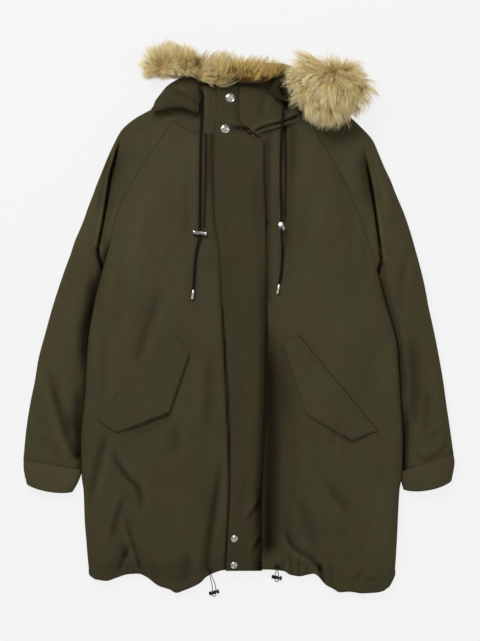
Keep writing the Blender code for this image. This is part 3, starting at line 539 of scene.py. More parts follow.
twill = {
    # the crease colour is painted shade, in creases, seams and shaded pieces; the paler colour is painted
    # light, on ridges and lit pieces
    "colour": "#423D28", "paintedShadeColour": "#120B06", "paintedLightColour": "#565039", "roughness": 0.8,
    "pitch": 1.3,  # the real weave is about 0.5 mm, and shows at this size
    "weaveDepth": 0.35, "sheen": 0.03, "sheenColour": "#B9B49A", "sheenRoughness": 0.45, "shine": 0.12,
    "mottle": 0.12, "crumple": 0.2, "crumpleDepth": 0.55, "grain": 0.16, "grainDepth": 0.25, "slant": 58,
}


def oliveTwill():
    material, tree, shader = freshMaterial("oliveCottonTwill")
    place = addNode(tree, "ShaderNodeTexCoord").outputs["Object"]
    flat = addNode(tree, "ShaderNodeUVMap", uv_map="cloth").outputs["UV"]
    paintedShadeAndLight = addNode(tree, "ShaderNodeAttribute", attribute_name="paintedShadeAndLight").outputs["Fac"]
    cloud = addNoise(tree, place, 9.0, 3.0, 0.55)
    fine = addNoise(tree, place, 420.0, 2.0, 0.6)
    stretch = {"Vector": place, "Rotation": (0, 0, 0.15), "Scale": (1.0, 0.42, 1.0)}
    crumple = addNoise(tree, addNode(tree, "ShaderNodeMapping", stretch).outputs["Vector"], 24.0, 4.0, 0.62)
    slant = {"Vector": flat, "Rotation": (0, 0, math.radians(twill["slant"]))}
    rib = addNode(tree, "ShaderNodeTexWave", {
        "Vector": addNode(tree, "ShaderNodeMapping", slant).outputs["Vector"],
        "Scale": 1000 / twill["pitch"] / 20 * math.pi, "Distortion": 1.2, "Detail": 1.0, "Detail Scale": 3.0,
    }, bands_direction="X")
    colour = addMix(tree, twill["mottle"], colourOf(twill["colour"]), cloud["Fac"], "OVERLAY")
    # the crumple figure's overlay is partly random tone and partly painted shade and light of the crumples,
    # which the same figure also bumps
    colour = addMix(tree, twill["crumple"], colour, crumple["Color"], "OVERLAY")
    colour = addMix(tree, twill["grain"], colour, fine["Fac"], "OVERLAY")
    # painted shade: towards the crease colour as the stored shade rises; painted light: towards the paler
    # colour below nought
    colour = addMix(tree, paintedShadeAndLight, colour, colourOf(twill["paintedShadeColour"]))
    colour = addMix(tree, addMath(tree, "MULTIPLY", paintedShadeAndLight, -1.0), colour, colourOf(twill["paintedLightColour"]))
    creased = addBump(tree, crumple["Fac"], twill["crumpleDepth"], 0.004)
    woven = addBump(tree, rib.outputs["Fac"], twill["weaveDepth"], 0.0003)
    slub = addBump(tree, fine["Fac"], twill["grainDepth"], 0.0004)
    setInputs(tree, woven, {"Normal": creased.outputs["Normal"]})
    setInputs(tree, slub, {"Normal": woven.outputs["Normal"]})
    # less shine where shade is painted, so that the painted shade goes deep
    shine = addNode(tree, "ShaderNodeMapRange", {"Value": paintedShadeAndLight, "To Min": twill["shine"], "To Max": 0.0})
    setInputs(tree, shader, {
        "Base Color": colour, "Normal": slub.outputs["Normal"], "Roughness": twill["roughness"],
        "Specular IOR Level": shine.outputs["Result"], "Sheen Weight": twill["sheen"],
        "Sheen Roughness": twill["sheenRoughness"], "Sheen Tint": colourOf(twill["sheenColour"]),
    })
    return material


clothFinish = oliveTwill()

front = {
    "rowStep": 4.0, "columns": 76, "hemSoftness": 3.0,
    "channel": 20.0, "channelDepth": 0.6,  # the seam of the hem's cord, from the hem
    "gather": 0.35, "gatherReach": 26,
}
hemRoll = ((-1.6, 0.90), (-2.6, 0.72), (-3.0, 0.50), (-2.2, 0.30), (0.6, 0.17), (6.0, 0.14))
frontFolds = {
    right: (
        (((-140.6, 79.8), (-169.1, 9.5), (-188.1, -47.5), (-201.4, -98.8)), 8, 2, 0.2, 0.5, 0.24, 0.4, 0.2),
        (((-241.3, 38), (-254.6, -28.5), (-260.3, -123.5), (-262.2, -180.5)),
         6, 1.2, 0.2, 0.3, 0.1, 0.4, 0.3),
        (((-100.7, 266), (-102.6, 209), (-100.7, 133)), 7, 0.9, 0, 0.3, 0.12, 0.4, 0.4),
        (((-58.9, 387.6), (-53.2, 351.5), (-55.1, 294.5), (-51.3, 199.5)), 6, 1.6, 0.1, 0, 0.42, 0.1, 0.6),
        (((-53.2, 323), (-51.3, 190), (-45.6, 38)), 9, 0.8, 0, 0, 0.12, 0.3, 0.3),
        # painted light on the chest
        (((-171, 294.5), (-190, 171), (-209, 57)), 24, 0, 0, 0, -0.14, 0.3, 0.3),
        (((-281.2, -459.8), (-171, -475), (-66.5, -467.4)), 14, 0, 0, 0, 0.12, 0.2, 0.2),
        (((-49.4, -285), (-53.2, -380), (-49.4, -484.5)), 13, 0.6, 0, 0, 0.15, 0.3, 0),
        # painted shadow along the pocket flap's outer edge
        (((-97.8, -55.1), (-96.3, -64.6), (-105.4, -95), (-118.8, -134.9), (-132.2, -174.8), (-136.8, -180.1),
          (-180.5, -198), (-228, -215.6)), 1.7, 0.3, 0, 0, 0.6, 0.1, 0.1),
        (((-216.6, -218.5), (-171, -205.2), (-129.2, -178.6)), 8, 0.8, 0, 0, 0.16, 0.3, 0.1),
        # painted shade along the placket's right edge
        (((-48.4, 340.1), (-49.4, 266), (-49.4, 193.8), (-39.9, 129.2), (-36.1, 49.4), (-32.3, 0),
          (-24.7, -152), (-20.9, -266), (-20.9, -361), (-27.5, -476.9)), 2, 0.9, 0.3, 0, 0.3, 0.1, 0),
        (((-39.9, 129.2), (-36.1, 49.4), (-32.3, 0), (-24.7, -152), (-20.9, -266), (-20.9, -361),
          (-27.5, -476.9)), 2.6, 1.5, 0.3, 0, 0.62, 0.3, 0),
        # painted shadow beside the hood cord
        (((-64.6, 395.2), (-65.5, 266), (-68.4, 167.2)), 2.3, 0.3, 0, 0, 0.62, 0.05, 0.05),
        (((-161.5, 237.5), (-171, 152), (-169.1, 38)), 14, 1.2, 0, 0.6, 0.05, 0.4, 0.4),
        (((-212.8, 110.2), (-231.8, 38), (-243.2, -57)), 10, 1.2, 0, 0.5, 0.06, 0.4, 0.4),
        (((-51.3, -19), (-58.9, -104.5), (-64.6, -199.5), (-77.9, -256.5)), 9, 1.6, 0.1, -0.5, 0.2, 0.4, 0.4),
        (((-36.1, -250.8), (-41.8, -304), (-51.3, -370.5), (-60.8, -433.2), (-64.6, -490.2)),
         6, 3, 0.3, 0.6, 0.34, 0.3, 0.1),
        (((-252.7, -209), (-264.1, -250.8), (-275.5, -300.2), (-285, -342), (-286.9, -370.5)),
         7, 3.4, 0.3, 0.8, 0.3, 0.2, 0.4),
        (((-245.1, -237.5), (-231.8, -273.6), (-212.8, -300.2), (-195.7, -317.3), (-188.1, -340.1),
          (-190, -376.2)), 5.2, 3.2, 0.4, 1, 0.42, 0.3, 0.35),
        (((-214.7, -323), (-228, -355.3), (-239.4, -391.4), (-245.1, -433.2)),
         5, 3, 0.4, -0.8, 0.34, 0.3, 0.3),
        (((-212.8, -427.5), (-222.3, -454.1), (-235.6, -482.6)), 4, 2.6, 0.5, 0.8, 0.36, 0.3, 0.2),
        (((-218.5, -374.3), (-210.9, -404.7), (-199.5, -440.8), (-190, -478.8)),
         3.6, 2.8, 0.6, -0.8, 0.4, 0.3, 0.1),
        (((-216.6, -418), (-218.5, -459.8)), 9, 1.5, 0, 0, 0.28, 0.4, 0.3),
        (((-214.7, -459.8), (-214.7, -486.4)), 2.5, 1.2, 0.4, 0.5, 0.2, 0.4, 0),
        (((-203.3, -461.7), (-201.4, -486.4)), 2.5, 1.2, 0.4, 0.5, 0.2, 0.4, 0),
        (((-174.8, -456), (-157.7, -457.9), (-140.6, -471.2)), 2, -0.7, 0, 0, -0.1, 0.4, 0.4),
        (((-140.6, -342), (-129.2, -366.7), (-125.4, -399)), 8, 1.2, 0.1, 0.5, 0.08, 0.4, 0.4),
        (((-98.8, -427.5), (-100.7, -465.5), (-102.6, -503.5)), 7, 1.2, 0.1, 0.4, 0.12, 0.4, 0.1),
        (((-171, -285), (-142.5, -300.2), (-104.5, -300.2)), 12, 1, 0, 0.5, 0.04, 0.4, 0.4),
        (((-292.6, 38), (-298.3, -114), (-300.2, -228)), 4, -1, 0, 0, -0.12, 0.3, 0.3),
        (((-254.6, 98.8), (-266, 38), (-271.7, -57)), 7, 1.2, 0, 0.4, 0.08, 0.3, 0.4),
        (((-119.7, -34.2), (-83.6, -57), (-47.5, -60.8)), 9, 1, 0, 0.4, 0.05, 0.3, 0.4),
        (((-129.2, -191.9), (-121.6, -228), (-129.2, -269.8)), 9, 1.4, 0.1, 0.3, 0.18, 0.3, 0.4),
    ),
    left: (
        # painted shade in the valley beside the placket's left edge
        (((53.2, 364.8), (51.3, 228), (53.2, 38)), 6, 2, 0, 0, 0.34, 0.1, 0),
        (((51.3, 38), (55.1, -76), (51.3, -228), (49.4, -342), (49.4, -465.5)), 7, 5, 0, 0, 0.3, 0.25, 0.04),
        (((62.7, 19), (64.6, -95), (64.6, -228), (60.8, -342), (58.9, -456)), 12, 6, 0, 0, 0.53, 0.3, 0.06),
        (((95, -19), (96.9, -190), (93.1, -342), (95, -456)), 16, 0.8, 0, 0, 0.15, 0.3, 0.1),
        (((95, 395.2), (98.8, 323), (96.9, 228)), 9, 0.8, 0, 0, 0.28, 0, 0.5),
        # painted light low on the front
        (((237.5, -459.8), (266, -380), (275.5, -285)), 22, 0, 0, 0, -0.14, 0.3, 0.3),
        (((171, 342), (199.5, 285), (212.8, 218.5)), 14, 0.6, 0, 0, 0.12, 0.2, 0.4),
        # painted shadow along the pocket flap's lower edge
        (((125.4, -181.4), (169.1, -205.8), (210.9, -230.8), (231.8, -224.2), (248.9, -217.5)),
         1.5, 0.3, 0, 0, 0.45, 0.1, 0.1),
        # painted shadow beside the hood cord
        (((85.5, 402.8), (86.5, 266), (85.5, 178.6)), 2.3, 0.3, 0, 0, 0.62, 0.05, 0.1),
        (((34.2, 349.6), (52.1, 356.4), (79.8, 363.5), (98.8, 372.4)), 3, 1.8, 0.3, 0.5, 0.55, 0, 0.2),
        (((96.9, 351.5), (98.8, 247), (96.9, 142.5), (100.7, 38)), 7, 1.4, 0.1, 0.4, 0.14, 0.4, 0.4),
        (((115.9, 323), (119.7, 190), (114, 38)), 8, 1, 0, 0.4, 0.06, 0.4, 0.4),
        (((184.3, 304), (191.9, 256.5), (195.7, 199.5)), 9, 0.9, 0, 0.4, 0.06, 0.4, 0.4),
        (((45.6, 184.3), (57, 186.2)), 2, 0.8, 0.3, 0, 0.3, 0.3, 0.3),
        (((91.2, -19), (83.6, -85.5), (89.3, -171), (96.9, -228)), 8, 1.6, 0.1, -0.5, 0.14, 0.3, 0.4),
        (((85.5, -391.4), (95, -423.7), (114, -442.7), (134.9, -454.1), (152, -476.9)),
         4, 3.6, 0.5, -1.6, 0.44, 0.3, 0),
        (((115.9, -326.8), (125.4, -376.2), (140.6, -418), (155.8, -440.8)), 9, 2, 0.1, -0.7, 0.2, 0.4, 0.3),
        (((155.8, -296.4), (178.6, -328.7), (199.5, -355.3), (222.3, -380)), 8, 2, 0.2, -0.7, 0.24, 0.4, 0.4),
        (((112.1, -442.7), (112.1, -494)), 2.8, 1.6, 0.5, 0.5, 0.28, 0.3, 0),
        (((95, -427.5), (98.8, -490.2)), 3.2, 1.8, 0.4, 0.6, 0.26, 0.3, 0),
        (((127.3, -456), (129.2, -490.2)), 2.6, 1.2, 0.5, 0.4, 0.22, 0.3, 0),
        (((150.1, -459.8), (155.8, -494)), 3.6, 3, 0.4, -0.8, 0.6, 0.3, 0),
        (((216.6, -497.8), (229.9, -478.8), (245.1, -471.2)), 3, 1.2, 0.4, 0.6, 0.24, 0.3, 0.4),
        (((235.6, -488.3), (250.8, -492.1), (266, -492.1)), 3, 1, 0.3, 0.4, 0.2, 0.4, 0.3),
        (((171, -456), (176.7, -513)), 5, 1.2, 0.2, 0.5, 0.12, 0.4, 0),
        (((81.7, -456), (79.8, -484.5)), 4, 1.6, 0.3, 0.3, 0.3, 0.3, 0),
        (((256.5, -19), (248.9, -95), (254.6, -171)), 9, 1, 0, 0.5, 0.05, 0.4, 0.4),
        (((288.8, -38), (300.2, -152), (300.2, -285)), 5, -1, 0, 0, -0.08, 0.3, 0.3),
        (((129.2, -256.5), (161.5, -285), (171, -342)), 12, 1, 0, 0.5, 0.04, 0.4, 0.4),
    ),
}


def frontSections(side):
    # the front's points, how far each may fold, and where it lies: its distance from the side edge,
    # its row's Y, how far it is past the middle, and how far its side seam is open
    rise, power = neckRise[side]
    lastY = hemY + front["hemSoftness"]
    rowY = np.append(np.arange(neckY, lastY, -front["rowStep"]), lastY)
    facts = (through(bodyRows["y"], bodyRows[k], rowY) for k in ("neck", "hem", "height", "seam"))
    rollAt = np.linspace(0, 4, 12)
    sewn, rolled, share = (roundThrough(sideRoll[k], rollAt) for k in ("sewn", "rolled", "height"))
    across = np.linspace(0, 1, front["columns"] + 1)[1:]
    grid, weight, reach = [], [], []
    for y, n, h, tall, atSeam in zip(rowY, *facts):
        edge = sideX(side, y + n * rise) - side * seamGap / 2
        opened = openness(side, y)
        middle = abs(placketEdge(side, y) - edge)
        last = abs(zipX(y) + side * seamGap / 2 - edge)
        start = sewn[-1] + (rolled[-1] - sewn[-1]) * opened
        near = sewn + (rolled - sewn) * opened
        inner = start + (last - start) * across
        inset = np.concatenate([near - near.min(), inner])
        flat = atSeam + (tall - atSeam) * smoothRun(np.concatenate([sewn, inner]) / 60)
        rounds = np.concatenate([share, np.minimum(1, 0.92 + 0.08 * (inner - 16) / 60)])
        z = flat + (rimHeight + (tall - rimHeight) * rounds - flat) * opened
        x = edge - side * inset
        lift = n * rise * np.maximum(0, 1 - inset / middle) ** power
        drop = through(hemLine["x"], hemLine["y"], x) - hemY
        grid.append(np.stack([x, y + lift + h * drop, z], axis=1))
        loose = np.concatenate([smoothRun((rollAt - 1.4) / 2.4), np.ones(len(across))])
        weight.append(1 - opened + opened * loose)
        reach.append(np.stack([inset, np.full(len(inset), y), inset - middle, np.full(len(inset), opened)]))
    return np.array(grid), np.array(weight), np.array(reach).transpose(1, 0, 2)


def frontPiece(side):
    grid, weight, (inset, base, past, opened) = frontSections(side)
    x, y = grid[..., 0], grid[..., 1]
    change, dark = foldField(x, y, frontFolds[side])
    change += waveField(x, y)
    # the hem is drawn in along its cord, and shade is painted in the hollows of its gathers and along its
    # cord's seam
    fromHem = base - hemY
    gather = np.sin(x / 2.9 + 1.3 * np.sin(x / 11.0)) + 0.8 * np.sin(x / 4.7 + 2.0)
    change += front["gather"] * gather * np.exp(-fromHem / front["gatherReach"])
    dark += 0.05 * np.maximum(0, -gather) * np.exp(-fromHem / 22)
    channel = bell(fromHem - front["channel"], 1.8)
    change -= front["channelDepth"] * channel
    dark += 0.10 * channel
    change = np.where(past > -5, np.minimum(change, 0), change)
    # the raglan seam, its felled edge beside it, and the neck seam, with shade painted along both seams
    sewnSeam = (1 - opened) * bell(inset, 1.5)
    felled = (1 - opened) * bell(inset - 4.5, 3.0)
    change += 0.4 * felled - 0.7 * sewnSeam
    neckSeam = bell(neckY - base, 2.4)
    change -= 0.5 * neckSeam
    dark += 0.12 * (sewnSeam + neckSeam)
    grid[..., 2] += change * weight
    foot = grid[-1]
    for down, part in hemRoll:
        row = foot.copy()
        row[:, 1] += down
        row[:, 2] = rimHeight + (foot[:, 2] - rimHeight) * part
        grid = np.concatenate([grid, row[None]])
        dark = np.concatenate([dark, dark[-1:]])
    clothPiece(f"front_{sideName[side]}", grid, shell["thickness"], clothFinish, dark)
    return grid


sleeve = {"rows": 216, "middleColumns": 50, "underHood": (1.0, 5.0, 12.0, 20.0)}
lastRow = 22  # a sleeve's rows are 0 to 22, and its seam follows the body's rows as far as row 21
sleeveFolds = {
    right: (
        (((-226.1, 349.6), (-231.8, 332.5), (-238.4, 304), (-247, 269.8), (-256.5, 209), (-264.1, 167.2),
          (-270.6, 134.9)), 2.4, 8.5, 0.35, -0.4, 1.2, 0.16, 0.04),
        (((-270.6, 140.6), (-267.9, 117.8), (-260.3, 95)), 3.4, 6, 0.4, 0.8, 1.1, 0.1, 0),
        (((-233.7, 326.8), (-247, 269.8), (-264.1, 186.2)), 11, 3, 0, 0, 0.36, 0.3, 0.3),
        (((-273.6, 98.8), (-285, 38), (-296.4, -28.5), (-302.1, -114)), 8.5, 4, 0, 0, 0.54, 0.2, 0.3),
        (((-304, -114), (-309.7, -190), (-305.9, -269.8)), 7, 4, 0, 0, 0.42, 0.3, 0.05),
        (((-362.9, -76), (-357.2, -119.7), (-345.8, -165.3), (-330.6, -214.7), (-309.7, -269.8)),
         7, 4.2, 0.4, -1.4, 0.42, 0.35, 0.06),
        (((-326.8, -171), (-317.3, -224.2)), 7, 1.4, 0, 0, 0.3, 0.4, 0.4),
        (((-258.4, 66.5), (-285, 3.8), (-307.8, -47.5)), 9, 2, 0, -0.6, 0.12, 0.4, 0.4),
        (((-190, 342), (-212.8, 294.5), (-231.8, 247)), 8, 0.9, 0, 0.4, 0.04, 0.4, 0.4),
        (((-243.2, 304), (-220.4, 364.8), (-171, 395.2)), 24, 0, 0, 0, 0.16, 0, 0),
        (((-357.2, 38), (-372.4, -38), (-380, -114)), 9, 1.2, 0, 0.5, 0.05, 0.4, 0.4),
        (((-389.5, -228), (-361, -241.3), (-338.2, -269.8)), 7, 1, 0.1, 0.5, 0.08, 0.3, 0.3),
        (((-402.8, -250.8), (-380, -258.4)), 4, 0.8, 0.2, 0.3, 0.08, 0.3, 0.3),
        (((-311.6, 110.2), (-323, 66.5), (-342, 19)), 10, 1.2, 0, 0.5, 0.05, 0.4, 0.4),
    ),
    left: (
        (((229.9, 338.2), (237.5, 311.6), (245.1, 277.4), (252.7, 235.6), (261.2, 178.6), (266.9, 136.8),
          (269.8, 106.4)), 2.4, 8, 0.35, 1, 1.1, 0.4, 0.03),
        (((269.8, 110.2), (266, 100.7), (263.1, 89.3)), 3.4, 5.5, 0.4, 0, 1, 0.1, 0),
        (((229.9, 332.5), (241.3, 266), (256.5, 199.5)), 11, 3, 0, 0, 0.36, 0.3, 0.3),
        (((264.1, 304), (271.7, 256.5), (281.2, 190)), 6, -1.6, 0, 0, -0.18, 0.3, 0.4),
        (((315.4, 133), (307.8, 66.5), (304, -9.5)), 6, 2, 0.1, 0.8, 0.12, 0.4, 0.4),
        (((319.2, -3.8), (328.7, -76), (332.5, -148.2), (328.7, -228)), 11, 3.2, 0.1, -0.9, 0.34, 0.35, 0.3),
        (((355.3, -114), (357.2, -180.5), (347.7, -239.4)), 7, 1.8, 0.1, -0.8, 0.14, 0.4, 0.3),
        (((332.5, -247), (349.6, -266), (372.4, -258.4), (399, -233.7)), 4.5, 2, 0.3, 1, 0.2, 0.3, 0.2),
        (((340.1, -220.4), (357.2, -226.1), (387.6, -205.2)), 4.5, 1.6, 0.2, 0.8, 0.15, 0.3, 0.3),
        (((313.5, -142.5), (315.4, -228), (311.6, -296.4)), 5, 2.5, 0, 0, 0.45, 0.4, 0.05),
        (((296.4, -28.5), (307.8, -95), (313.5, -152)), 6, 2, 0, 0, 0.3, 0.3, 0.2),
        (((328.7, 133), (345.8, 38), (364.8, -57)), 11, 1, 0, 0.5, 0.04, 0.4, 0.4),
        (((294.5, 199.5), (307.8, 142.5)), 8, 1, 0, 0.4, 0.04, 0.4, 0.4),
    ),
}


def sleeveEnds(side, at, shift):
    # the two ends of a sleeve row, and how far its seam has opened
    rows = sleeveRows[side]
    numbers = np.arange(lastRow + 1)
    outer = np.stack([through(numbers, rows["x"], at), through(numbers, rows["y"], at)], axis=1)
    y = through(np.arange(len(bodyRows["y"])), bodyRows["y"], np.minimum(at, lastRow - 1))
    opened = openness(side, y)
    edgeY = y + through(bodyRows["y"], bodyRows["neck"], y) * neckRise[side][0]
    out = seamGap / 2 + (shift - seamGap / 2) * opened
    inner = np.stack([sideX(side, edgeY) + side * out, edgeY], axis=1)
    last = np.clip(at - (lastRow - 1), 0, 1)[:, None]
    inner = inner + (np.array(sleeveEndInner[side], float) - inner) * last
    return inner, outer, opened, y


def sleeveSections(side):
    # the sleeve's points, how far each may fold, its distance from the seam, and how far that is open
    at = np.linspace(0, lastRow, sleeve["rows"])
    inner, outer, opened, rowY = sleeveEnds(side, at, -3.0)
    heights = through(np.arange(lastRow + 1), sleeveRows[side]["height"], at)
    seams = through(bodyRows["y"], bodyRows["seam"], rowY)
    nearAt, farAt = np.linspace(0, 4, 11), np.linspace(4, 0, 12)
    near = [roundThrough(innerRoll[k], nearAt) for k in ("sewn", "rolled", "height")]
    far = [roundThrough(outerRoll[k], farAt) for k in ("sewn", "rolled", "height")]
    share = np.linspace(0, 1, sleeve["middleColumns"] + 2)[1:-1]
    loose, farLoose = smoothRun((nearAt - 1.6) / 2.2), smoothRun((farAt - 1.2) / 2.4)
    grid, weight, gap, free = [], [], [], []
    for a, b, o, tall, atSeam in zip(inner, outer, opened, heights, seams):
        width = np.linalg.norm(b - a)
        scale = min(1.0, width / 95)
        nearIn = scale * (near[0] + (near[1] - near[0]) * o)
        nearIn = nearIn - nearIn.min()
        flat = atSeam + (tall - atSeam) * smoothRun(scale * near[0] / 60)
        nearZ = flat + (rimHeight + (tall - rimHeight) * near[2] - flat) * o
        farIn = scale * far[1]
        farZ = rimHeight + (tall - rimHeight) * far[2]
        level = nearZ[-1] + (farZ[0] - nearZ[-1]) * share
        middleZ = level + (tall - level) * np.sin(np.pi * share) ** 0.6
        middle = nearIn[-1] + (width - farIn[0] - nearIn[-1]) * share
        place = np.concatenate([nearIn, middle, width - farIn])
        xy = a + np.outer(place, (b - a) / width)
        grid.append(np.column_stack([xy, np.concatenate([nearZ, middleZ, farZ])]))
        weight.append(np.concatenate([1 - o + o * loose, np.ones(len(share)), farLoose]))
        gap.append(place)
        free.append(np.full(len(place), o))
    return at, np.array(grid), np.array(weight), np.array(gap), np.array(free)


def sleeveFrontPiece(side):
    at, grid, weight, gap, free = sleeveSections(side)
    # the top end goes on for a little under the hood's roll
    rise = np.array(sleeve["underHood"])[::-1, None] * (1 - 0.8 * np.linspace(0, 1, grid.shape[1]))
    inwards = np.minimum(3 * rise, 5.0) * np.linspace(1, 0, grid.shape[1])
    grid = np.concatenate([grid[:1] + np.dstack([-side * inwards, rise, -0.7 * inwards]), grid])
    added = len(rise)
    weight, gap, free = (np.concatenate([v[:1].repeat(added, 0), v]) for v in (weight, gap, free))
    at = np.concatenate([np.zeros(added), at])
    change, dark = foldField(grid[..., 0], grid[..., 1], sleeveFolds[side])
    change += waveField(grid[..., 0], grid[..., 1])
    seam = (1 - free) * bell(gap, 1.5)
    tuck = free * bell(np.maximum(gap - 3, 0), 6)
    fromEnd = (lastRow - at)[:, None] * np.ones_like(gap)
    change -= 0.7 * seam + 0.5 * bell(fromEnd, 0.09)
    # painted shade in the seam, where the sleeve tucks under the body's edge, and at the sleeve's end
    dark += 0.12 * seam + 0.40 * tuck + 0.08 * bell(fromEnd, 0.07)
    grid[..., 2] = np.maximum(grid[..., 2] + change * weight, rimHeight + 0.1)
    clothPiece(f"sleeve_front_{sideName[side]}", grid, shell["thickness"], clothFinish, dark)


# Folds of the hidden side, where the cloth lifts off the surface that it lies on.
backFolds = (
    (((-150, 250), (-120, 120), (-128, -40)), 9, -3, 0.2, 0, 0.1, 0.3, 0.4),
    (((160, 240), (140, 110), (150, -20)), 10, -3.2, 0.2, 0, 0.1, 0.3, 0.4),
    (((-60, 330), (-52, 180), (-66, 20)), 8, -2.2, 0.1, 0, 0.06, 0.3, 0.4),
    (((48, 335), (60, 150), (44, 10)), 8, -2.4, 0.1, 0, 0.06, 0.3, 0.4),
    (((-205, 60), (-150, -60), (-170, -200)), 10, -3.4, 0.3, 0, 0.12, 0.3, 0.4),
    (((215, 40), (190, -90), (215, -230)), 9, -3, 0.3, 0, 0.12, 0.3, 0.4),
    (((-90, -250), (-110, -350), (-96, -455)), 7, -3.6, 0.4, 0, 0.15, 0.4, 0.1),
    (((10, -200), (-6, -320), (8, -450)), 8, -3, 0.3, 0, 0.12, 0.4, 0.1),
    (((110, -260), (96, -360), (104, -452)), 7, -3.4, 0.4, 0, 0.15, 0.4, 0.1),
    (((-190, -320), (-206, -400), (-200, -455)), 6, -3, 0.4, 0, 0.15, 0.4, 0.1),
    (((196, -310), (208, -400), (200, -470)), 6, -3, 0.4, 0, 0.15, 0.4, 0.1),
)


def backPiece():
    rows = np.append(np.arange(neckY, hemY, -7.0), hemY)
    edges = []
    for side in (right, left):
        y = rows + through(bodyRows["y"], bodyRows["neck"], rows) * neckRise[side][0]
        opened = openness(side, rows)
        edges.append(np.stack([sideX(side, y) - side * (0.15 + 8.85 * opened), y], axis=1))
    share = np.linspace(0, 1, 86)[None, :, None]
    flat = edges[0][:, None] + (edges[1] - edges[0])[:, None] * share
    x = flat[..., 0]
    hem = through(bodyRows["y"], bodyRows["hem"], rows)[:, None]
    y = flat[..., 1] + hem * (through(hemLine["x"], hemLine["y"], x) - hemY + 5)
    inside = np.minimum(x - x[:, :1], x[:, -1:] - x)
    clear = smoothRun((inside - 14) / 26) * smoothRun((y + 474) / 30)
    lift, dark = foldField(x, y, backFolds)
    z = floorGap + clear * np.maximum(0, lift + 0.7 + waveField(x + 500, y))
    grid = np.stack([x, y, z], axis=2)
    clothPiece("back_panel", grid, shell["backThickness"], clothFinish, dark, facing="down")


def sleeveBackPiece(side):
    at = np.linspace(0, lastRow, 110)
    inner, outer, _, _ = sleeveEnds(side, at, 1.0)
    across = (outer - inner) / np.linalg.norm(outer - inner, axis=1)[:, None]
    inner = inner + across * 4.0 * smoothRun(at - (lastRow - 1))[:, None]
    outer = outer - across * 4.0
    share = np.linspace(0, 1, 18)[None, :, None]
    flat = inner[:, None] + (outer - inner)[:, None] * share
    clear = smoothRun((lastRow - at) / 1.5)[:, None] * smoothRun(at / 2)[:, None]
    clear = np.sin(np.pi * share[..., 0]) ** 0.8 * clear
    x, y = flat[..., 0], flat[..., 1]
    z = floorGap + clear * np.maximum(0, 0.8 + 2.2 * waveField(x + 900 * side, y * 1.6))
    clothPiece(f"sleeve_back_{sideName[side]}", np.dstack([x, y, z]), shell["backThickness"], clothFinish,
               facing="down")


cuff = {
    "rows": 18, "corners": 104, "topHeight": 22.0, "bow": {right: 8.0, left: 10.5},
    right: ((-308, -308, -412, -288, 22), (-318, -326, -407, -311, 20)),
    left: ((307, -306, 409, -275, 22), (311, -322, 404, -304, 20)),
    "section": ((26, 1.00), (10, 0.95), (2.5, 0.78), (0, 0.48), (1.5, 0.18), (7, 0.00), (26, 0.00)),
    "turnedIn": ((1.0, 0.9), (2.4, 1.2), (3.4, 0.4)),  # rows that turn in past the end: inwards and lower
    "seams": ((1.2, 0.9, 0.25), (14.5, 0.8, 0.5)),  # a seam's row, width and depth
}


def cuffEnds(side):
    # the two ends of the seam between a sleeve and its cuff
    return np.array(sleeveEndInner[side], float), np.array([sleeveRows[side][k][-1] for k in ("x", "y")])


def cuffPiece(side):
    near, far = cuffEnds(side)
    across = (far - near) / np.linalg.norm(far - near)
    direction = np.array((across[1], -across[0])) * side
    down = direction * 0.15
    lines = np.array([(*(near + down), *(far + down), cuff["topHeight"]), *cuff[side]], float)
    rows = roundThrough(lines, np.linspace(0, 2, cuff["rows"]))
    turns = [(0.0, 0.0)] * len(rows) + list(cuff["turnedIn"])
    rows = np.concatenate([rows, np.repeat(rows[-1:], len(cuff["turnedIn"]), axis=0)])
    half = np.array(cuff["section"], float)
    grid, dark = [], []
    for number, (row, (inwards, lower)) in enumerate(zip(rows, turns)):
        a, b, tall = row[:2], row[2:4], row[4]
        width = np.linalg.norm(b - a)
        ring = np.concatenate([half, np.stack([width - half[::-1, 0], half[::-1, 1]], axis=1)])
        ring = np.stack([ring[:, 0], ring[:, 1] * tall], axis=1)
        closed = np.vstack([ring[-1:], ring, ring[:2]])
        line = roundThrough(closed, np.linspace(1, 1 + len(ring), cuff["corners"], endpoint=False))
        middle = np.array((width / 2, tall / 2))
        dip = sum(deep * bell(number - seamRow, wide) for seamRow, wide, deep in cuff["seams"])
        offset = line - middle
        pull = (inwards + dip) / np.maximum(np.linalg.norm(offset / (width / 2, tall / 2), axis=1), 0.3)
        outwards = offset / np.linalg.norm(offset, axis=1)[:, None]
        line = line - outwards * np.minimum(pull, 4)[:, None]
        bow = cuff["bow"][side] * smoothRun(number / (cuff["rows"] - 1))
        bowed = bow * np.sin(np.pi * np.clip(line[:, 0] / width, 0, 1)) ** 0.7
        place = a + np.outer(line[:, 0], (b - a) / width) + direction * (lower + bowed[:, None])
        z = np.maximum(line[:, 1], floorGap + inwards)
        z = z + np.where(z > tall * 0.5, 0.5 * waveField(place[:, 0], place[:, 1]), 0)
        grid.append(np.column_stack([place, z]))
        # painted shade by the seam with the sleeve
        dark.append(np.full(len(line), 0.12 * bell(number, 1.0)))
    name = f"cuff_{sideName[side]}"
    clothPiece(name, grid, shell["cuffThickness"], clothFinish, dark, wrap=True, facing="out")


